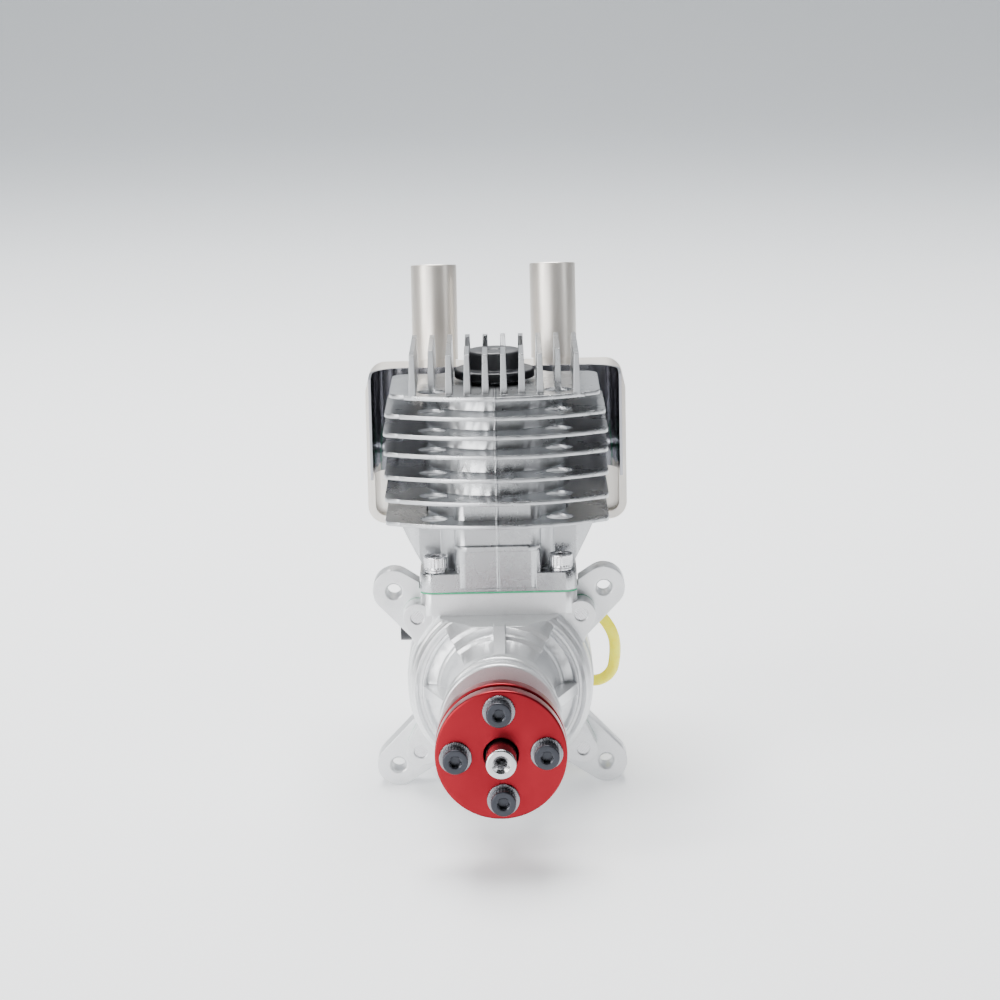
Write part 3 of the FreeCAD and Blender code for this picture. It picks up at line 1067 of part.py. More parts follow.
def reed_block():
    plate = slab("reed_plate_body", PLATE_FRONT, PLATE_BACK, *REED_SIDES, "deck_corner")
    nose = wedge("reed_nose", "reed_half", "reed_width", "reed_apex", f"{PLATE_FRONT} + 0.5")
    hollow = wedge("reed_hollow", "reed_half - reed_wall", "reed_width - 2 * reed_wall",
                   "reed_apex + 2.2", f"{PLATE_BACK} + 1")
    ports = [block(f"reed_port{index}", ("reed_width / 2 - 2.6", "4.6", "reed_plate_height"),
                   (x, "reed_apex + 2.4", "intake_z - reed_plate_height / 2"))
             for index, x in enumerate(("1", "-reed_width / 2 + 1.6"))]
    piece("reed_block", cut("reed_block", join("reed_solid", [plate, nose]), [
        hollow, *ports, *screw_ways("reed_block", LONG_SPOTS + SHORT_SPOTS, PLATE_FRONT,
                                    PLATE_BACK)]))
    petals = []
    for name, sign in (("upper", "+"), ("lower", "-")):
        sheet_body = padded(f"petal_{name}", "x", "-reed_width / 2 + 0.6", "reed_width - 1.2",
                            draw_polygon, [
                                ("reed_apex", f"intake_z {sign} 0.8"),
                                (PLATE_FRONT, f"intake_z {sign} (reed_half - 0.4)"),
                                (PLATE_FRONT, f"intake_z {sign} (reed_half - 0.4 + petal)"),
                                ("reed_apex", f"intake_z {sign} (0.8 + petal)")])
        petals.append(cut(f"petals_{name}", sheet_body, [
            block(f"petal_slit_{name}", ("0.6", "7.4", "24"), ("-0.3", "reed_apex - 1", "-10"))]))
    piece("reed_petals", group("reed_petals", petals))


def intake_manifold():
    """The black heat-insulating block between reed block and carburettor."""
    flange = slab("manifold_flange", PLATE_BACK, f"{PLATE_BACK} + insulator_flange", *REED_SIDES,
                  "deck_corner")
    way = rod("manifold_tube", "y", "insulator_tube", "block_length",
              ("0", BLOCK_BACK, "intake_z"))
    bar = padded("manifold_bar", "y", f"-({BLOCK_BACK})", "block_length", draw_strap,
                 LONG_SPOTS[0], "3.9", LONG_SPOTS[1], "3.9")
    holes = [rod("manifold_bore", "y", "intake_bore", "block_length + 2",
                 ("0", f"{BLOCK_BACK} + 1", "intake_z")),
             *screw_ways("manifold_long", LONG_SPOTS, PLATE_BACK, BLOCK_BACK),
             *screw_ways("manifold_short", SHORT_SPOTS, PLATE_BACK, BLOCK_BACK)]
    piece("intake_manifold", cut("intake_manifold", join("manifold", [flange, way, bar]), holes))


def rear_screws(name, spots, head_at, length):
    screws = []
    for index, (x, z) in enumerate(spots):
        forward = cap_screw(f"{name}_{index}", "y", (x, f"-({head_at})", z), length)
        screws.append(flipped(f"{name}_rear_{index}", forward))
    piece(name, group(name, screws))


def carburettor_gasket():
    plate = slab("carb_gasket_plate", BLOCK_BACK, CARB_FRONT, *CARB_SIDES, "deck_corner")
    bore = rod("carb_gasket_bore", "y", "intake_bore", "3", ("0", f"{CARB_FRONT} + 1", "intake_z"))
    piece("carburettor_gasket", cut("carburettor_gasket", plate, [
        bore, *screw_ways("carb_gasket", LONG_SPOTS, BLOCK_BACK, CARB_FRONT)]))


CARB_TOP = "intake_z + carb_height / 2"
CARB_BOTTOM = "intake_z - carb_height / 2"
COVER_SPOTS = [(x, y) for x in ("cover_screw_x", "-cover_screw_x")
               for y in (f"{CARB_FRONT} + 3.5", f"{CARB_BACK} - 3.5")]
NEEDLE_SPOTS = {"high_needle": "throttle_y + 2.5", "low_needle": "choke_y - 4.5"}


def carburettor_body():
    body = slab("carb_block", CARB_FRONT, CARB_BACK, *CARB_SIDES, "2.5")
    boss = rod("throttle_boss", "x", "lever_boss", "lever_end - carb_width / 2 - 4",
               ("-lever_end + 4.7", "throttle_y", "intake_z"))
    tip = HOSE_ROUTE[-1]
    spur = block("nipple_boss", ("9", "6", "6.4"),
                 ("carb_width / 2 - 1", f"{tip[1]} + 1.5", f"{tip[2]} - 3.2"))
    holes = [turned("venturi_way", "y", [
        (f"{CARB_FRONT} - 1", "0"), (f"{CARB_FRONT} - 1", "venturi"), ("throttle_y + 4", "venturi"),
        ("throttle_y + 4.8", "throat"), ("choke_y - 4.6", "throat"), ("choke_y - 3.8", "venturi"),
        (f"{CARB_BACK} + 1", "venturi"), (f"{CARB_BACK} + 1", "0")],
        ("0", "0", "intake_z")),
             rod("throttle_way", "x", "spindle_radius + running_play",
                 "lever_end + carb_width / 2 - 1.95", ("-lever_end", "throttle_y", "intake_z")),
             rod("choke_way", "x", "spindle_radius + running_play",
                 "choke_end + carb_width / 2 - 1.95",
                 ("-carb_width / 2 + 1.95", "choke_y", "intake_z")),
             rod("nipple_way", "y", "nipple_radius", "5",
                 (str(tip[0]), f"{tip[1]} + 5.5", str(tip[2]))),
             *screw_ways("carb", LONG_SPOTS, CARB_FRONT, CARB_BACK)]
    for name, y in NEEDLE_SPOTS.items():
        holes.append(rod(name + "_way", "x", "needle_radius + running_play", "needle_in + 2",
                         ("carb_width / 2 - needle_in", y, "intake_z + needle_z")))
    for index, (x, y) in enumerate(COVER_SPOTS):
        for side, low in (("top", f"{CARB_TOP} - cover_screw_depth - 0.5"),
                          ("low", f"{CARB_BOTTOM} - 1")):
            holes.append(rod(f"cover_thread_{side}_{index}", "z", "cover_screw + thread_play",
                             "cover_screw_depth + 1.5", (x, y, low)))
    piece("carburettor_body", cut("carburettor_body", join("carb_solid", [body, boss, spur]), holes))


def spindle(name, low, high, y):
    """A cross shaft, slotted for its plate."""
    bar = rod(name + "_bar", "x", "spindle_radius", f"{high} - ({low})", (low, y, "intake_z"))
    slot = block(name + "_slot", ("2 * plate_radius + 0.4", "plate_thickness + 2 * snug",
                                  "3 * spindle_radius"),
                 ("-plate_radius - 0.2", f"{y} - plate_thickness / 2 - snug",
                  "intake_z - 1.5 * spindle_radius"))
    piece(name, cut(name, bar, [slot]))


def lever(name, low, length, y, end):
    hub = rod(name + "_hub", "x", "lever_hub", length, (low, y, "intake_z"))
    arm = padded(name + "_arm", "x", low, "lever_thickness", draw_strap,
                 (y, "intake_z"), "lever_hub - 0.2", end, "2.2")
    holes = [rod(name + "_bore", "x", "spindle_radius + snug", "12", (f"{low} - 3", y, "intake_z")),
             rod(name + "_link", "x", "0.9", "12", (f"{low} - 3", *end))]
    piece(name, cut(name, join(name + "_solid", [hub, arm]), holes))


def throttle_and_choke():
    spindle("throttle_shaft", "-lever_end", "carb_width / 2 - 2", "throttle_y")
    spindle("choke_shaft", "-carb_width / 2 + 2", "choke_end", "choke_y")
    for name, y in (("throttle_plate", "throttle_y"), ("choke_plate", "choke_y")):
        piece(name, rod(name, "y", "plate_radius", "plate_thickness",
                        ("0", f"{y} + plate_thickness / 2", "intake_z")))
    lever("throttle_lever", "-lever_end", "4.1", "throttle_y",
          ("throttle_y + lever_reach", "intake_z"))
    lever("choke_lever", "carb_width / 2 + 0.5", "choke_end - carb_width / 2 - 0.5", "choke_y",
          ("choke_y", "intake_z - lever_reach"))


def cover(name, low):
    plate = padded(name + "_plate", "z", low, "cover_thickness", draw_rounded,
                   ("-carb_width / 2 + 2", f"{CARB_FRONT} + 0.6"),
                   ("carb_width / 2 - 2", f"{CARB_BACK} - 0.6"), "3")
    holes = [rod(f"{name}_hole_{index}", "z", "cover_screw + 0.1", "cover_thickness + 2",
                 (x, y, f"{low} - 1")) for index, (x, y) in enumerate(COVER_SPOTS)]
    piece(name, cut(name, plate, holes))


def cover_screws():
    screws = []
    for index, (x, y) in enumerate(COVER_SPOTS):
        top = f"{CARB_TOP} + cover_thickness"
        bottom = f"{CARB_BOTTOM} - cover_thickness"
        for part, head_low, shank_low in (("top", top, f"{top} - cover_thickness - cover_screw_depth"),
                                          ("low", f"{bottom} - 1.6", bottom)):
            screws.append(join(f"cover_screw_{part}_{index}", [
                rod(f"cover_head_{part}_{index}", "z", "2 * cover_screw", "1.6", (x, y, head_low)),
                rod(f"cover_shank_{part}_{index}", "z", "cover_screw",
                    "cover_thickness + cover_screw_depth",
                    (x, y, shank_low))]))
    piece("cover_screws", group("cover_screws", screws))


def needles():
    """The two mixture screws: a plain shank, a knurl-sized head and a screwdriver slot."""
    for name, y in NEEDLE_SPOTS.items():
        bar = rod(name + "_bar", "x", "needle_radius", "needle_in + needle_out - 0.2",
                  ("carb_width / 2 - needle_in + 0.1", y, "intake_z + needle_z"))
        slot = block(name + "_slot", ("1.4", "0.8", "6"),
                     ("carb_width / 2 + needle_out - 1.2", f"{y} - 0.4", "intake_z + needle_z - 3"))
        piece(name, cut(name, bar, [slot]))


def nipples():
    """Brass tube stubs: one on the crankcase, one on the carburettor and the fuel inlet."""
    tip = HOSE_ROUTE[-1]
    stem = join("pulse_stem", [nipple_rod("pulse_seat", "nipple_base - snug", "4.2", "-4.4"),
                               nipple_rod("pulse_barb", "nipple_radius - snug", "5", "-1")])
    back = rod("carb_nipple", "y", "nipple_radius - snug", "9",
               (str(tip[0]), f"{tip[1]} + 5", str(tip[2])))
    ring = rod("carb_nipple_ring", "y", "nipple_base", "0.9",
               (str(tip[0]), f"{tip[1]} + 1.45", str(tip[2])))
    piece("pulse_nipples", group("pulse_nipples", [stem, join("carb_stem", [back, ring])]))
    inlet = turned("inlet_turned", "z", [
        ("0", "nipple_radius - 0.3"), ("0", "nipple_base"), ("1.2", "nipple_base"),
        ("1.2", "nipple_radius + 0.4"), ("6", "nipple_radius + 0.4"), ("7", "nipple_radius + 0.9"),
        ("8.4", "nipple_radius"), ("8.4", "nipple_radius - 0.3")],
        ("-carb_width / 2", "choke_y - 5", "intake_z + 6"))
    inlet.Placement.Rotation = FreeCAD.Rotation(FreeCAD.Vector(0, 1, 0), -90)
    piece("fuel_inlet", inlet)


# ----------------------------------------------------------------------------- pulse hose
def rounded_route(points):
    """Straight runs joined by arcs that touch them; also gives each arc's radius."""
    edges, radii = [], []
    start = points[0]
    for before, corner, after in zip(points, points[1:], points[2:]):
        back, ahead = before - corner, after - corner
        reach = 0.45 * min(back.Length, ahead.Length)
        half = (math.pi - back.getAngle(ahead)) / 2
        first = corner + FreeCAD.Vector(back).normalize() * reach
        last = corner + FreeCAD.Vector(ahead).normalize() * reach
        toward = (first + last) / 2 - corner
        radius = reach / math.tan(half)
        center = corner + FreeCAD.Vector(toward).normalize() * (radius / math.cos(half))
        middle = center + (corner - center).normalize() * radius
        edges += [Part.makeLine(start, first), Part.Arc(first, middle, last).toShape()]
        radii.append(radius)
        start = last
    edges.append(Part.makeLine(start, points[-1]))
    return Part.Wire(edges), radii


def pulse_hose():
    points = [FreeCAD.Vector(*point) for point in HOSE_ROUTE]
    route, radii = rounded_route(points)
    ahead = points[1] - points[0]
    outside = Part.Wire(Part.makeCircle(sheet.hose_radius, points[0], ahead))
    inside = Part.Wire(Part.makeCircle(sheet.hose_bore, points[0], ahead))
    hose = doc.addObject("Part::Feature", "pulse_hose")
    hose.Shape = route.makePipeShell([outside], True, True).cut(
        route.makePipeShell([inside], True, True))
    section = math.pi * (sheet.hose_radius ** 2 - sheet.hose_bore ** 2)
    print("hose radii", [round(radius, 1) for radius in radii], "length", round(route.Length, 1),
          "volume share", round(hose.Shape.Volume / (section * route.Length), 4))
    piece("pulse_hose", hose)


# ----------------------------------------------------------------------------- build
front_crankcase()
rear_crankcase()
case_gasket()
case_screws()
cylinder()
base_gasket()
base_bolts()
plug_hole_cap()
piston()
piston_parts()
connecting_rod()
crankshaft()
ball_bearing("rear_bearing", "rear_bearing_radius", "journal_radius", "rear_bearing_width",
             "rear_bearing_front", "rear_ball", 9)
ball_bearing("front_bearing", "front_bearing_radius", "shaft_radius", "front_bearing_width",
             "front_bearing_front", "front_ball", 9)
shaft_seal()
propeller_hub()
centre_stud()
propeller_bolts()
exhaust_gasket()
heat_shield()
muffler_front_shell()
muffler_rear_shell()
outlet_tube("left", "-tube_x")
outlet_tube("right", "tube_x")
muffler_bolts()
reed_gasket()
reed_block()
intake_manifold()
rear_screws("intake_screws", SHORT_SPOTS, f"{PLATE_BACK} + insulator_flange", "13")
carburettor_gasket()
carburettor_body()
rear_screws("carburettor_screws", LONG_SPOTS, CARB_BACK, "carb_screw_length")
throttle_and_choke()
cover("metering_cover", CARB_TOP)
cover("pump_cover", f"{CARB_BOTTOM} - cover_thickness")
cover_screws()
needles()
nipples()
pulse_hose()
doc.recompute()

# ----------------------------------------------------------------------------- checks and files
faults = [item.Name for item in doc.Objects if {"Invalid", "Error"} & set(item.State)]
faults += [item.Label for item in PIECES if item.Shape.isNull() or not item.Shape.isValid()]
if faults:
    raise SystemExit("not built: " + ", ".join(faults))
os.makedirs("parts", exist_ok=True)
for item in PIECES:
    print(item.Label, len(item.Shape.Solids), "solids", round(item.Shape.Volume), "mm3")
    item.Shape.exportStep(f"parts/{item.Label}.step")
print(len(PIECES), "nodes")
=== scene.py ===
# %% [markdown]
# The engine's solids come from its CAD model. They load as a fixed frame: every new piece is
# measured from it, and none of the solids is moved.

# %% Load the frame
import json

import bmesh
import bpy
import numpy as np
from mathutils import Matrix, Vector


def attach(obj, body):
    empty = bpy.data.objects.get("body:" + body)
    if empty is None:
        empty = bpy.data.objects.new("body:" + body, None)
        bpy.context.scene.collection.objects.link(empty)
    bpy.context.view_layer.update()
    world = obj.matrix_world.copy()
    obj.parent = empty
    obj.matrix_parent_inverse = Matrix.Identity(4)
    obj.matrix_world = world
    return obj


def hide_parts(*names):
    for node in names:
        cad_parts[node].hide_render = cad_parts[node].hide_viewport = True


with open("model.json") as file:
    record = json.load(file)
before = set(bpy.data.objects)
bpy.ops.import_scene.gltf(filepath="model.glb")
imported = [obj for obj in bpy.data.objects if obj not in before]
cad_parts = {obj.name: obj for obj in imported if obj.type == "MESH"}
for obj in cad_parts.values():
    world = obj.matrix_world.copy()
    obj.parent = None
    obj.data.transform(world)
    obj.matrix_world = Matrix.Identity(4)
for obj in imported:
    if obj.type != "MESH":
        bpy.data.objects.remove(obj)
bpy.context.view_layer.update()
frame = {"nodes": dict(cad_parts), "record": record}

MM = 0.001

# %% [markdown]
# The camera comes first, because every later choice is judged through it. It could be aimed with
# a Track To constraint, but that can't hold a small roll, so its three axes are worked out
# from a yaw, a downward pitch and a roll. It stands about a metre in front of the propeller
# hub with a long lens, which keeps the upright lines nearly parallel.

# %% Camera
CAMERA_AT = np.array([3.975, -963.8, 247.2]) * MM
CAMERA_YAW, CAMERA_PITCH, CAMERA_ROLL = np.radians([0.184, 11.44, -1.212])
LENS, SENSOR = 118.8, 36.0


def camera_axes(yaw, pitch, roll):
    """Ahead is (-sin yaw cos pitch, cos yaw cos pitch, -sin pitch); right is level, up is their
    cross product, and roll turns right and up about ahead."""
    ahead = np.array([-np.sin(yaw) * np.cos(pitch), np.cos(yaw) * np.cos(pitch), -np.sin(pitch)])
    level = np.array([np.cos(yaw), np.sin(yaw), 0.0])
    above = np.cross(level, ahead)
    right = np.cos(roll) * level + np.sin(roll) * above
    up = -np.sin(roll) * level + np.cos(roll) * above
    return right, up, ahead


camera = bpy.data.objects.new("camera", bpy.data.cameras.new("camera"))
camera.data.lens, camera.data.sensor_width = LENS, SENSOR
camera.data.clip_start, camera.data.clip_end = 0.05, 20.0
right, up, ahead = camera_axes(CAMERA_YAW, CAMERA_PITCH, CAMERA_ROLL)
camera.matrix_world = Matrix.Translation(CAMERA_AT) @ Matrix(
    np.column_stack([right, up, -ahead]).tolist()).to_4x4()
bpy.context.collection.objects.link(camera)
bpy.context.scene.camera = camera
print("camera at", CAMERA_AT.round(3), "lens", LENS)

# %% [markdown]
# A finish is a small network of shader nodes. Sums written out as nodes are hard to read, so a
# socket is wrapped in a class whose plus, minus and times add the Math nodes. One method
# makes every other node: its type, its settings, then what its sockets get.


# %% Shader arithmetic
class Wire:
    """A number on a socket; arithmetic on it adds Math nodes to its board."""

    def __init__(self, board, socket):
        self.board, self.socket = board, socket

    def sum_of(self, operation, first, second):
        return self.board.add("ShaderNodeMath", {"operation": operation}, {0: first, 1: second})

    def __add__(self, other):
        return self.sum_of("ADD", self, other)

    def __sub__(self, other):
        return self.sum_of("SUBTRACT", self, other)

    def __rsub__(self, other):
        return self.sum_of("SUBTRACT", other, self)

    def __mul__(self, other):
        return self.sum_of("MULTIPLY", self, other)

    __radd__, __rmul__ = __add__, __mul__


class Finish:
    """One material: a Principled surface and the board that its nodes are placed on."""

    def __init__(self, name, **constants):
        self.material = bpy.data.materials.new(name)
        self.material.use_nodes = True
        self.tree = self.material.node_tree
        self.surface = self.tree.nodes["Principled BSDF"]
        for socket, value in constants.items():
            self.surface.inputs[socket.replace("_", " ")].default_value = value

    def add(self, kind, settings=(), sockets=(), out=0):
        node = self.tree.nodes.new(kind)
        for key, value in dict(settings).items():
            setattr(node, key, value)
        for key, value in dict(sockets).items():
            if isinstance(value, Wire):
                self.tree.links.new(value.socket, node.inputs[key])
            else:
                node.inputs[key].default_value = value
        return Wire(self, node.outputs[out])

    def send(self, socket, wire):
        self.tree.links.new(wire.socket, self.surface.inputs[socket])

    def place(self, stretch=(1.0, 1.0, 1.0)):
        """The point on the object, in metres, stretched along its axes."""
        point = self.add("ShaderNodeTexCoord", out="Object")
        return self.add("ShaderNodeMapping", {}, {"Vector": point, "Scale": stretch})

    def along(self, axis):
        """One coordinate of the point on the object, in metres."""
        point = self.add("ShaderNodeTexCoord", out="Object")
        return self.add("ShaderNodeSeparateXYZ", {}, {0: point}, out=axis)

    def noise(self, scale, detail=3.0, rough=0.5, stretch=(1.0, 1.0, 1.0)):
        return self.add("ShaderNodeTexNoise", {}, {
            "Vector": self.place(stretch), "Scale": scale, "Detail": detail, "Roughness": rough})

    def blend(self, amount, first, second):
        """From the first colour to the second."""
        return self.add("ShaderNodeMix", {"data_type": "RGBA"}, {
            "Factor": amount, 6: (*first, 1.0) if isinstance(first, tuple) else first,
            7: (*second, 1.0) if isinstance(second, tuple) else second}, out=2)

    def step(self, wire, low, high):
        """0 below low, 1 above high and a smooth ramp between."""
        return self.add("ShaderNodeMapRange", {"interpolation_type": "SMOOTHSTEP"}, {
            "Value": wire, "From Min": low, "From Max": high})

    def relief(self, height, depth, softened=0.0):
        """Bump by a height field, on edges that are softened by a radius in metres."""
        sockets = {"Height": height, "Distance": depth, "Strength": 1.0}
        if softened:
            sockets["Normal"] = self.add("ShaderNodeBevel", {"samples": 6}, {"Radius": softened})
        self.send("Normal", self.add("ShaderNodeBump", {}, sockets))


print("finish board ready")

# %% [markdown]
# Most of this engine is aluminium cast in sand-like dies and then blasted with glass beads. The
# finish is light grey and even, with a grain of about a third of a millimetre, faint clouds of
# darker metal, small stains, and edges that are never quite sharp. A colour alone would look
# like plastic, so grain goes into the bump, and clouds into both colour and roughness.


# %% Cast and sheet metals
def cast_metal(name, light, dark, rough, grain=0.00004, softened=0.0004, metal=0.9, seam=0.0):
    """Colour runs from light to dark with a cloud noise, plus fine specks. A seam is the ridge
    where two halves of the die met, on the plane x = 0; its value is its height over the grain."""
    f = Finish(name, Metallic=metal)
    clouds = f.noise(45.0, 4.0, 0.6)
    stains = f.step(f.noise(140.0, 6.0, 0.65), 0.52, 0.74)
    specks = f.step(f.noise(2600.0, 2.0, 0.6), 0.58, 0.72)
    tone = f.blend(clouds, light, tuple(0.5 * (a + b) for a, b in zip(light, dark)))
    tone = f.blend(stains * 0.35, tone, dark)
    f.send("Base Color", f.blend(specks * 0.3, tone, dark))
    f.send("Roughness", clouds * 0.16 + specks * 0.1 + (rough - 0.1))
    beads = f.noise(3200.0, 2.0, 0.5) * 0.6 + f.noise(1100.0, 3.0, 0.6) * 0.4
    if seam:
        away = f.along("X") * f.along("X")
        beads = beads + f.step(away, 2.5e-7, 2e-8) * seam
    f.relief(beads, grain, softened)
    return f.material


def turned_metal(name, light, dark, rough, pitch=0.00035, lines=0.000006, metal=1.0,
                 softened=0.00015, coat=0.0):
    """Rings about the shaft (Y) left by the lathe: a sine of the distance, broken by noise."""
    f = Finish(name, Metallic=metal, Coat_Weight=coat, Coat_Roughness=0.12)
    rings = f.add("ShaderNodeTexWave", {"wave_type": "RINGS", "rings_direction": "Y"}, {
        "Vector": f.place(), "Scale": 0.314 / pitch, "Distortion": 1.5, "Detail": 2.0}, out=1)
    clouds = f.noise(70.0, 4.0, 0.6)
    rubs = f.step(f.noise(420.0, 5.0, 0.7), 0.55, 0.8)
    tone = f.blend(clouds * 0.7 + rings * 0.2, light, dark)
    f.send("Base Color", f.blend(rubs * 0.35, tone, light))
    f.send("Roughness", clouds * 0.12 + rings * 0.06 + rubs * 0.08 + (rough - 0.1))
    f.relief(rings + f.noise(2400.0, 2.0) * 0.5, lines, softened)
    return f.material


def drawn_metal(name, light, dark, rough, run=(60.0, 60.0, 4.0), lines=0.000005, softened=0.0002,
                heat=None, metal=1.0):
    """Sheet and tube: a noise stretched along the rolling or drawing direction."""
    f = Finish(name, Metallic=metal)
    streaks = f.noise(24.0, 5.0, 0.6, run)
    clouds = f.noise(38.0, 4.0, 0.55)
    tone = f.blend(streaks * 0.5 + clouds * 0.5, light, dark)
    if heat:
        tone = f.blend(f.step(f.noise(22.0, 3.0, 0.5), 0.45, 0.8) * 0.4, tone, heat)
    f.send("Base Color", tone)
    f.send("Roughness", streaks * 0.1 + clouds * 0.1 + (rough - 0.1))
    f.relief(streaks + f.noise(900.0, 3.0) * 0.3, lines, softened)
    return f.material


castings = cast_metal("bead_blasted_casting", (0.90, 0.91, 0.92), (0.54, 0.55, 0.57), 0.36,
                      metal=0.75)
# The cylinder's copy of the cast aluminium is much darker than the crankcases': the darker colour is
# painted shade on and between its fins.
cylinder_casting_shaded = cast_metal("seamed_casting_painted_shade", (0.53, 0.54, 0.55), (0.28, 0.29, 0.31), 0.30,
                              metal=1.0, seam=5.0)
die_cast = cast_metal("zinc_die_casting", (0.62, 0.62, 0.60), (0.38, 0.38, 0.37), 0.38)
red_hub = turned_metal("red_anodised", (0.32, 0.020, 0.030), (0.19, 0.010, 0.016), 0.34)
ground = turned_metal("ground_steel", (0.62, 0.62, 0.63), (0.42, 0.42, 0.44), 0.25)
forged = cast_metal("forged_steel", (0.42, 0.42, 0.43), (0.24, 0.24, 0.25), 0.42, metal=1.0)
shield_sheet = drawn_metal("polished_shield", (0.52, 0.52, 0.55), (0.36, 0.36, 0.40), 0.14,
                           heat=(0.42, 0.36, 0.30))
box_sheet = drawn_metal("satin_box", (0.93, 0.90, 0.86), (0.76, 0.71, 0.64), 0.36,
                        heat=(0.74, 0.64, 0.52), metal=0.8)
zinc = turned_metal("bright_zinc", (0.80, 0.80, 0.81), (0.60, 0.60, 0.63), 0.24, pitch=0.0006)
# A darker copy of the bright zinc for the propeller washers: its darker tone is painted shade.
shaded_zinc = turned_metal("shaded_zinc", (0.30, 0.30, 0.32), (0.18, 0.18, 0.20), 0.26, pitch=0.0006)
brass = turned_metal("turned_brass", (0.78, 0.56, 0.24), (0.56, 0.38, 0.14), 0.26)
black_steel = turned_metal("black_oxide", (0.045, 0.048, 0.060), (0.018, 0.02, 0.026), 0.34,
                           metal=0.75, coat=0.2)
print("metals", len(bpy.data.materials))

# %% [markdown]
# The rest is moulded or pressed: the black cap, lever and insulating block, the rubber seal and
# the green fibre gaskets. Moulded black plastic shows a fine spark-eroded grain and a dusty
# sheen on its high spots, and gasket fibre shows short pressed threads.


# %% Moulded and pressed finishes
def moulded(name, tone, dust, rough, grain=0.00003, softened=0.0004):
    """Plastic or rubber: an even tone with dust where a soft noise is high."""
    f = Finish(name)
    patches = f.step(f.noise(90.0, 5.0, 0.65), 0.5, 0.8)
    f.send("Base Color", f.blend(patches * 0.5, tone, dust))
    f.send("Roughness", patches * 0.2 + f.noise(600.0) * 0.1 + (rough - 0.1))
    f.relief(f.noise(2200.0, 3.0, 0.6), grain, softened)
    return f.material


def pressed_fibre(name, tone, thread):
    """Short threads lying in the sheet: a noise drawn out one way and one drawn the other."""
    f = Finish(name)
    threads = (f.noise(500.0, 4.0, 0.7, (1.0, 6.0, 1.0))
               + f.noise(500.0, 4.0, 0.7, (6.0, 1.0, 1.0))) * 0.5
    f.send("Base Color", f.blend(f.step(threads, 0.45, 0.62), tone, thread))
    f.send("Roughness", threads * 0.3 + 0.45)
    f.relief(threads, 0.00005)
    return f.material


black_plastic = moulded("moulded_black", (0.020, 0.021, 0.025), (0.06, 0.06, 0.065), 0.42)
black_rubber = moulded("seal_rubber", (0.016, 0.016, 0.017), (0.05, 0.05, 0.05), 0.6)
gasket_green = pressed_fibre("gasket_fibre", (0.02, 0.36, 0.16), (0.05, 0.50, 0.26))

FINISH_OF_SLOT = {
    "cast_aluminium": castings, "red_anodised": red_hub, "black_steel": black_steel,
    "zinc_steel": zinc, "ground_steel": ground, "forged_steel": forged,
    "polished_steel": shield_sheet, "satin_steel": box_sheet, "black_plastic": black_plastic,
    "black_rubber": black_rubber, "green_gasket": gasket_green, "brass": brass,
    "cast_zinc": die_cast,
}
for part in frame["record"]["subparts"]:
    solid = frame["nodes"][part["node"]]
    if part["material_slot"] in FINISH_OF_SLOT:
        solid.data.materials.clear()
        solid.data.materials.append(FINISH_OF_SLOT[part["material_slot"]])
print("finishes laid on", len(frame["nodes"]), "solids")

# %% [markdown]
# The pulse hose is a short run of soft yellow tube from the crankcase to the carburettor. A swept
# mesh would do, but a curve keeps one smooth centreline that can be measured, so it is a NURBS
# curve with a round bevel. Its points are the same ones that the solid tube turns about.

# %% Pulse hose
HOSE_POINTS = np.array([
    (24.2, 9.0, 17.6), (28.2, 9.0, 16.0), (31.6, 9.6, 13.1), (34.8, 10.7, 7.3), (35.0, 14.2, -0.1),
    (34.0, 18.7, -6.4), (29.5, 22.9, -10.3), (23.1, 29.7, -10.3), (22.5, 39.4, -8.0),
    (22.5, 45.0, -8.0)]) * MM
HOSE_RADIUS = 1.75 * MM


def translucent_glowing_hose(name, deep, pale):
    """A tinted clear wall: mostly colour with some light let through, cloudy and slightly ribbed;
    its yellow emission is a painted glow.
    """
    # Painted light: the yellow emission makes the hose glow, though it is no lamp.
    f = Finish(name, Transmission_Weight=0.1, IOR=1.42, Subsurface_Weight=0.5,
               Subsurface_Radius=(0.002, 0.0018, 0.0006), Subsurface_Scale=1.0,
               Emission_Color=(0.95, 0.84, 0.01, 1.0), Emission_Strength=0.26)
    haze = f.noise(260.0, 4.0, 0.6)
    f.send("Base Color", f.blend(f.step(haze, 0.35, 0.7), deep, pale))
    f.send("Roughness", haze * 0.2 + 0.12)
    f.relief(f.noise(700.0, 2.0), 0.00002)
    return f.material


hose_finish = translucent_glowing_hose("fuel_hose", (0.92, 0.84, 0.01), (0.98, 0.94, 0.06))
hose_curve = bpy.data.curves.new("pulse_hose_line", "CURVE")
hose_curve.dimensions = "3D"
hose_line = hose_curve.splines.new("NURBS")
hose_line.points.add(len(HOSE_POINTS) - 1)
hose_line.points.foreach_set("co", np.column_stack([HOSE_POINTS, np.ones(len(HOSE_POINTS))]).ravel())
hose_line.order_u = 3
hose_line.use_endpoint_u = True
hose_line.resolution_u = 16
hose_curve.bevel_depth, hose_curve.bevel_resolution = HOSE_RADIUS, 8
hose_curve.use_fill_caps = True
hose_curve.materials.append(hose_finish)
hose = bpy.data.objects.new("pulse_hose_tube", hose_curve)
bpy.context.collection.objects.link(hose)
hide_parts("pulse_hose")
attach(hose, "engine")
print("hose points", len(HOSE_POINTS))

# %% [markdown]
# Turned parts are surfaces of revolution. A plain profile swung round would have knife edges, and
# a Bevel modifier would round every edge alike, so the profile is drawn with a radius of its own
# at each corner. The whole surface is then one grid: a point along the profile, and an angle.


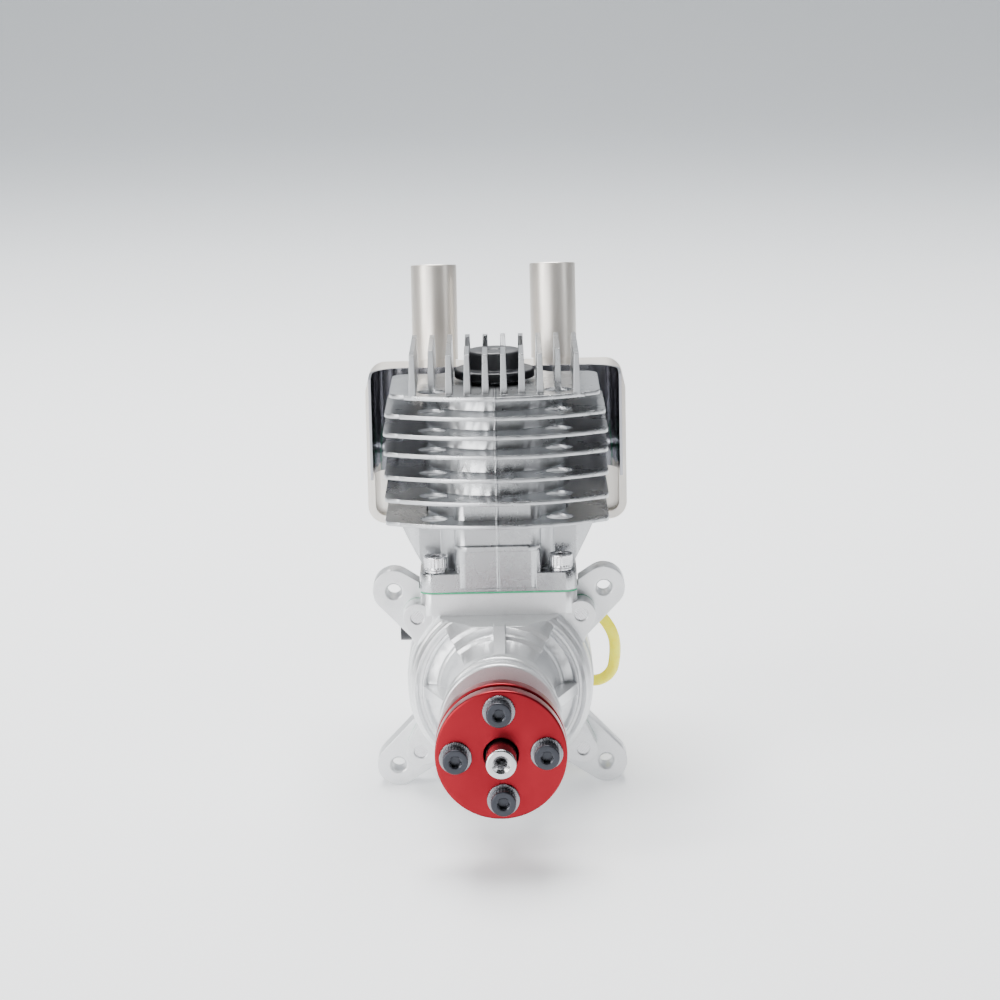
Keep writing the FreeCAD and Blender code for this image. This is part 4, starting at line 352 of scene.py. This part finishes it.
# %% Lathe
def rounded_profile(corners, fillet_steps=6):
    """Corners are (along, radius, fillet). Each fillet is a curve from a to b about corner c:
    (1-t)^2 a + 2t(1-t) c + t^2 b, with a and b one fillet away along the two sides."""
    points = np.array([corner[:2] for corner in corners], float)
    out = [points[:1]]
    t = np.linspace(0.0, 1.0, fillet_steps)[:, None]
    for before, corner, after, (_, _, size) in zip(points, points[1:], points[2:], corners[1:-1]):
        if size == 0:
            out.append(corner[None])
            continue
        sides = [side / np.linalg.norm(side) for side in (before - corner, after - corner)]
        a, b = (corner + side * size for side in sides)
        out.append((1 - t) ** 2 * a + 2 * t * (1 - t) * corner + t ** 2 * b)
    return np.vstack(out + [points[-1:]])


def grid_mesh(name, points, finish, close_rows=False):
    """A grid of points, rows by columns, as quads; the columns close round. Doubles are merged,
    which closes the poles."""
    rows, columns = points.shape[:2]
    index = np.arange(rows * columns).reshape(rows, columns)
    lower = index if close_rows else index[:-1]
    upper = np.roll(index, -1, 0) if close_rows else index[1:]
    faces = np.stack([lower, np.roll(lower, -1, 1), np.roll(upper, -1, 1), upper], -1)
    mesh = bpy.data.meshes.new(name)
    mesh.from_pydata(points.reshape(-1, 3).tolist(), [], faces.reshape(-1, 4).tolist())
    tidy_mesh = bmesh.new()
    tidy_mesh.from_mesh(mesh)
    bmesh.ops.remove_doubles(tidy_mesh, verts=tidy_mesh.verts, dist=1e-7)
    bmesh.ops.recalc_face_normals(tidy_mesh, faces=tidy_mesh.faces)
    tidy_mesh.to_mesh(mesh)
    tidy_mesh.free()
    mesh.polygons.foreach_set("use_smooth", np.ones(len(mesh.polygons), bool))
    mesh.set_sharp_from_angle(angle=np.radians(34))
    mesh.materials.append(finish)
    item = bpy.data.objects.new(name, mesh)
    bpy.context.collection.objects.link(item)
    return item


def lathe_points(profile, axis, middle, steps=96, ripple=None):
    """Point = middle + along * axis + r(angle) * (cos, sin) across it, in metres; ripple changes
    the radius as a function of (along, radius, angle)."""
    angle = np.linspace(0.0, 2 * np.pi, steps, endpoint=False)[None, :]
    along, radius = profile[:, :1] + 0 * angle, profile[:, 1:] + 0 * angle
    if ripple is not None:
        radius = ripple(along, radius, angle + 0 * along)
    across, other = radius * np.cos(angle), radius * np.sin(angle)
    order = {"y": (across, along, other), "z": (across, other, along)}[axis]
    return (np.stack(order, -1) + np.array(middle)) * MM


def lathed(name, corners, axis, middle, finish, steps=96, **extra):
    points = lathe_points(rounded_profile(corners), axis, middle, steps, **extra)
    return grid_mesh(name, points, finish)


def stands_for(item, node, body):
    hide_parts(node)
    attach(item, body)
    print(item.name, "faces", len(item.data.polygons))


# %% [markdown]
# Castings have no knife edges. Their solids are true in shape but sharp, and modelling the fins
# and ribs again would only lose that truth. So each casting's own solid is copied, its
# flat facets are merged, and its sharp edges are rolled over by the radius that a die leaves.


# %% Rounded castings
def rounded_copy(name, node, finish, radius, turn=40.0):
    """A copy of a solid with every edge sharper than `turn` degrees rolled over."""
    solid = frame["nodes"][node]
    shape = bmesh.new()
    shape.from_mesh(solid.data)
    shape.transform(solid.matrix_world)
    bmesh.ops.remove_doubles(shape, verts=shape.verts, dist=2e-6)
    bmesh.ops.dissolve_limit(shape, angle_limit=np.radians(0.6), verts=shape.verts,
                             edges=shape.edges)
    mesh = bpy.data.meshes.new(name)
    shape.to_mesh(mesh)
    shape.free()
    mesh.materials.clear()
    mesh.materials.append(finish)
    item = bpy.data.objects.new(name, mesh)
    bpy.context.collection.objects.link(item)
    roll = item.modifiers.new("roll", "BEVEL")
    roll.limit_method, roll.angle_limit = "ANGLE", np.radians(turn)
    roll.width, roll.segments, roll.use_clamp_overlap = radius, 2, True
    roll.harden_normals = True
    return item


for name, node, finish, radius in (
        ("cylinder_casting_shaded", "cylinder", cylinder_casting_shaded, 0.35 * MM),
        ("front_casting", "front_crankcase", castings, 0.4 * MM),
        ("rear_casting", "rear_crankcase", castings, 0.4 * MM)):
    stands_for(rounded_copy(name, node, finish, radius), node, "engine")

# %% [markdown]
# The propeller hub is turned from bar and anodised red: a disc, a deep groove, a second disc and
# a sleeve back to the front bearing. Its four tapped holes sit under the screws, so the
# surface closes over them, and only the middle hole is open, for the stud.

# %% Propeller hub
HUB_FRONT, HUB_RADIUS, GROOVE_RADIUS = -94.0, 18.2, 15.4
hub = lathed("red_hub", [
    (-89.45, 0.0, 0), (-89.45, 4.8, 0), (HUB_FRONT, 4.8, 0.35), (HUB_FRONT, HUB_RADIUS, 0.55),
    (-89.0, HUB_RADIUS, 0.4), (-89.0, GROOVE_RADIUS, 0.35), (-86.2, GROOVE_RADIUS, 0.35),
    (-86.2, HUB_RADIUS, 0.4), (-81.0, HUB_RADIUS, 0.55), (-81.0, 9.6, 1.1), (-58.5, 9.6, 0.4),
    (-58.5, 6.05, 0), (-89.5, 6.05, 0), (-89.5, 0.0, 0)], "y", (0, 0, 0), red_hub, steps=160)
stands_for(hub, "propeller_hub", "crank")

# %% [markdown]
# The stud that centres the propeller is ground steel, drilled and tapped for the spinner screw.
# The countersink and the threads inside the hole catch light, so the hole's wall carries
# a fine ripple.

# %% Centre stud
STUD_FRONT, STUD_RADIUS = -103.4, 4.2


def inside_thread(along, radius, angle):
    """Inside the hole the radius swings by 0.12 mm over each 0.7 mm of depth and turn."""
    swing = 0.12 * np.sin(2 * np.pi * along / 0.7 - angle)
    return radius + np.where((radius < 1.9) & (radius > 1.2) & (along > -102.4), swing, 0.0)


stud_hole = [(a, 1.65, 0) for a in np.arange(-92.4, -102.6, -0.12)]
stud = lathed("stud", [
    (-89.55, 0.0, 0), (-89.55, STUD_RADIUS, 0.2), (STUD_FRONT, STUD_RADIUS, 0.6),
    (STUD_FRONT, 2.55, 0.1), (-102.55, 1.65, 0.0), *reversed(stud_hole),
    (-92.4, 0.0, 0)], "y", (0, 0, 0), ground, ripple=inside_thread)
stands_for(stud, "centre_stud", "crank")

# %% [markdown]
# Socket-head screws hold the propeller and the cylinder. The real ones have a knurled head, a
# rounded rim and a six-sided key hole, too small for separate modelling steps to be worth it. One
# turned profile does it all: its radius is rippled for the knurl and for the flats.


# %% Socket-head screws
HEAD_RADIUS, HEAD_HEIGHT, SHANK_RADIUS, KEY_FLAT = 3.5, 4.0, 2.0, 1.44
KNURLS = 26


def screw_ripple(under, direction):
    """On the head's wall r - 0.11 |sin(n angle / 2)|; in the key hole flat / cos(angle from the
    middle of the flat); on the shank a 0.7 mm thread."""
    def ripple(along, radius, angle):
        height = (along - under) * direction
        wall = (radius > 3.3) & (height > 0.45) & (height < 3.55)
        knurled = radius - 0.11 * np.abs(np.sin(KNURLS / 2 * angle))
        flats = KEY_FLAT / np.cos(np.mod(angle, np.pi / 3) - np.pi / 6)
        thread = radius + 0.1 * np.sin(2 * np.pi * height / 0.7 - angle * direction)
        radius = np.where(wall, knurled, radius)
        radius = np.where((np.abs(radius - 1.65) < 0.02) & (height > 1.0), flats, radius)
        return np.where((height < -0.8) & (radius > 1.9), thread, radius)
    return ripple


def screw(name, axis, middle, under, length, finish):
    """A screw whose head stands from `under` to +z, or forward to -y."""
    direction = -1 if axis == "y" else 1
    shank = [(-s, SHANK_RADIUS - 0.1, 0) for s in np.arange(0.9, length - 0.3, 0.14)][::-1]
    wall = [(s, HEAD_RADIUS, 0) for s in np.linspace(0.4, HEAD_HEIGHT - 0.42, 12)]
    corners = [(-length, 0.0, 0), (-length, 1.5, 0), *shank, (0.0, SHANK_RADIUS, 0),
               (0.0, HEAD_RADIUS, 0.18), *wall, (HEAD_HEIGHT, HEAD_RADIUS, 0.38),
               (HEAD_HEIGHT, 1.85, 0.1), (HEAD_HEIGHT - 0.25, 1.65, 0), (1.9, 1.65, 0),
               (1.9, 0.0, 0)]
    placed = [(under + s * direction, r, size) for s, r, size in corners]
    return lathed(name, placed, axis, middle, finish, steps=156,
                  ripple=screw_ripple(under, direction))


def ring(name, axis, middle, low, high, inner, outer, finish):
    """A flat washer: a small closed section carried round, its corners eased."""
    ease = 0.18
    section = np.array([(low, inner), (low, outer - ease), (low + ease, outer), (high - ease, outer),
                        (high, outer - ease), (high, inner)])
    return grid_mesh(name, lathe_points(section, axis, middle, 64), finish, close_rows=True)


def gathered(name, items):
    """Several meshes as one piece."""
    whole = bmesh.new()
    for item in items:
        whole.from_mesh(item.data)
    whole.to_mesh(items[0].data)
    whole.free()
    for item in items[1:]:
        bpy.data.objects.remove(item)
    items[0].name = items[0].data.name = name
    return items[0]


CIRCLE_RADIUS, HUB_CLOCK, WASHER = 12.5, np.radians(1.8), 0.9
turns = HUB_CLOCK + np.arange(4) * np.pi / 2
hub_spots = [(-CIRCLE_RADIUS * np.sin(a), 0.0, CIRCLE_RADIUS * np.cos(a)) for a in turns]
hub_screws = gathered("hub_screws", [
    screw(f"hub_screw_{i}", "y", spot, HUB_FRONT - WASHER, 13.0, black_steel)
    for i, spot in enumerate(hub_spots)])
stands_for(hub_screws, "propeller_bolts", "crank")
# The propeller washers take the darker zinc copy, whose tone is painted shade.
hub_washers = gathered("hub_washers", [
    ring(f"hub_washer_{i}", "y", spot, HUB_FRONT - WASHER, HUB_FRONT, 2.1, 4.5, shaded_zinc)
    for i, spot in enumerate(hub_spots)])
stands_for(hub_washers, "propeller_bolt_washers", "crank")

FLANGE_TOP = 33.6
base_spots = [(x, y, 0.0) for x in (-18.5, 18.5) for y in (-13.0, 25.0)]
base_screws = gathered("base_screws", [
    screw(f"base_screw_{i}", "z", spot, FLANGE_TOP + WASHER, 16.0, zinc)
    for i, spot in enumerate(base_spots)])
stands_for(base_screws, "cylinder_base_bolts", "engine")
base_washers = gathered("base_washers", [
    ring(f"base_washer_{i}", "z", spot, FLANGE_TOP, FLANGE_TOP + WASHER, 2.1, 3.4, zinc)
    for i, spot in enumerate(base_spots)])
stands_for(base_washers, "cylinder_bolt_washers", "engine")

# %% [markdown]
# The plug hole is closed by a low moulded cap: a flange in the well between the head fins and a
# flat-topped knob. It is another turned profile, with larger radii than steel would have.

# %% Plug-hole cap
cap = lathed("plug_cap", [
    (83.1, 0.0, 0), (83.1, 3.65, 0), (83.9, 4.45, 0), (88.6, 4.45, 0), (88.6, 11.9, 0.3),
    (91.2, 11.9, 0.8), (91.2, 8.3, 0.6), (96.7, 8.1, 0.9), (96.7, 2.0, 0.1), (96.45, 1.8, 0.1),
    (96.45, 0.0, 0)], "z", (0.0, 6.0, 0.0), black_plastic)
stands_for(cap, "plug_hole_cap", "engine")

# %% [markdown]
# Two welded outlet tubes lean back from the top of the exhaust box. Each is a closed section
# carried round: a narrow seat, the outside wall, a rolled lip and the inside wall. The grid is
# then turned by nine degrees about the place where the tube goes through the box.

# %% Outlet tubes
TUBE_RADIUS, TUBE_SEAT, TUBE_WALL, TUBE_LEAN = 7.1, 6.4, 0.8, np.radians(9.0)
TUBE_ROOT = np.array([18.4, 49.0, 84.5])
lean = np.array([[1, 0, 0], [0, np.cos(TUBE_LEAN), np.sin(TUBE_LEAN)],
                 [0, -np.sin(TUBE_LEAN), np.cos(TUBE_LEAN)]])
lip = np.linspace(0, np.pi, 9)
TUBE_HEIGHTS = np.array([74.0, 87.0, 88.2, 116.0])
low_end, grip_start, mouth_start, high_end = (TUBE_HEIGHTS - TUBE_ROOT[2]) / np.cos(TUBE_LEAN)
half_wall = TUBE_WALL / 2
tube_section = np.vstack([
    [(low_end, TUBE_SEAT), (grip_start, TUBE_SEAT), (grip_start, TUBE_RADIUS)],
    np.column_stack([high_end - half_wall + half_wall * np.sin(lip),
                     TUBE_RADIUS - half_wall + half_wall * np.cos(lip)]),
    [(mouth_start, TUBE_RADIUS - TUBE_WALL), (mouth_start, TUBE_SEAT - TUBE_WALL),
     (low_end, TUBE_SEAT - TUBE_WALL)]])
for side, sign in (("left", -1), ("right", 1)):
    points = lathe_points(tube_section, "z", (0, 0, 0), 96) @ lean.T
    points += TUBE_ROOT * (sign, 1, 1) * MM
    outlet = grid_mesh(f"outlet_{side}", points, box_sheet, close_rows=True)
    stands_for(outlet, f"outlet_tube_{side}", "engine")

# %% [markdown]
# The engine stands on its two lower lugs, on a pale sheet that curves up far behind it so that
# no edge shows from the front. The sheet is one grid: level, then a quarter circle, then upright.

# %% Pale sweep
FLOOR_Z, SWEEP_BACK, SWEEP_RADIUS, SWEEP_TOP, SWEEP_HALF = -33.05 * MM, 2.2, 1.2, 4.5, 6.0
bend = np.linspace(0, np.pi / 2, 40)
run = np.concatenate([[-3.0], SWEEP_BACK + SWEEP_RADIUS * np.sin(bend),
                      [SWEEP_BACK + SWEEP_RADIUS]])
rise = np.concatenate([[0.0], SWEEP_RADIUS * (1 - np.cos(bend)), [SWEEP_TOP]]) + FLOOR_Z
sides = np.linspace(-SWEEP_HALF, SWEEP_HALF, 9)
grid = np.stack(np.broadcast_arrays(sides[None], run[:, None], rise[:, None]), -1)
rows, columns = grid.shape[:2]
index = np.arange(rows * columns).reshape(rows, columns)
quads = np.stack([index[:-1, :-1], index[:-1, 1:], index[1:, 1:], index[1:, :-1]], -1)
sweep_mesh = bpy.data.meshes.new("pale_sweep")
sweep_mesh.from_pydata(grid.reshape(-1, 3).tolist(), [], quads.reshape(-1, 4).tolist())
sweep_mesh.polygons.foreach_set("use_smooth", np.ones(len(sweep_mesh.polygons), bool))
sweep = bpy.data.objects.new("pale_sweep", sweep_mesh)
bpy.context.collection.objects.link(sweep)
paper = Finish("pale_paper", Coat_Weight=0.0)
paper_tone = paper.noise(3.0, 2.0)
# Painted shade: the sheet's colour darkens further behind the engine, standing in for light falling
# off.
painted_falloff_shade = paper.step(paper.along("Y"), 0.3, 2.0)
paper.send("Base Color", paper.blend(painted_falloff_shade * 0.9 + paper_tone * 0.05, (0.96, 0.97, 0.98),
                                     (0.60, 0.63, 0.655)))
# Painted light: the sheet glows by emission, brighter near the engine, though it is no lamp.
paper.send("Emission Color", paper.blend(painted_falloff_shade, (0.93, 0.95, 0.97), (0.56, 0.59, 0.62)))
paper.surface.inputs["Emission Strength"].default_value = 0.42
paper.send("Roughness", paper_tone * 0.1 + 0.28)
sweep_mesh.materials.append(paper.material)
print("floor at", FLOOR_Z)

# %% [markdown]
# Metal shows what is round it, so the light is all large soft panels: a broad one over the sheet
# behind the engine, a low one in front, a strong one high on the left, a weaker one on the
# right, and a dim surround. Small lamps would put hard sparks on every fin.


# %% Soft lights
def soft_panel(name, at, toward, size, power, tint=(1.0, 1.0, 1.0)):
    """A rectangle of light at one place, facing another."""
    lamp = bpy.data.lights.new(name, "AREA")
    lamp.shape, lamp.size, lamp.size_y = "RECTANGLE", *size
    lamp.energy, lamp.color = power, tint
    item = bpy.data.objects.new(name, lamp)
    facing = (Vector(toward) - Vector(at)).to_track_quat("-Z", "Y")
    item.matrix_world = Matrix.Translation(at) @ facing.to_matrix().to_4x4()
    bpy.context.collection.objects.link(item)


ENGINE_MIDDLE = (0.0, -0.01, 0.03)
FLOOR_BEHIND = (-0.15, 0.6, 0.0)
soft_panel("behind", (-0.1, 0.6, 1.25), FLOOR_BEHIND, (1.5, 0.8), 62.0)
soft_panel("front", (-0.75, -1.35, 0.1), ENGINE_MIDDLE, (0.8, 0.8), 19.0)
soft_panel("left_high", (-1.2, -0.75, 0.75), ENGINE_MIDDLE, (0.5, 1.0), 16.0, (1.0, 0.99, 0.97))
soft_panel("right_high", (1.2, -0.55, 0.65), ENGINE_MIDDLE, (0.25, 0.9), 2.5, (0.96, 0.97, 1.0))
world = bpy.data.worlds.new("pale_surround")
world.use_nodes = True
world.node_tree.nodes["Background"].inputs["Color"].default_value = (0.86, 0.9, 0.95, 1.0)
world.node_tree.nodes["Background"].inputs["Strength"].default_value = 0.05
bpy.context.scene.world = world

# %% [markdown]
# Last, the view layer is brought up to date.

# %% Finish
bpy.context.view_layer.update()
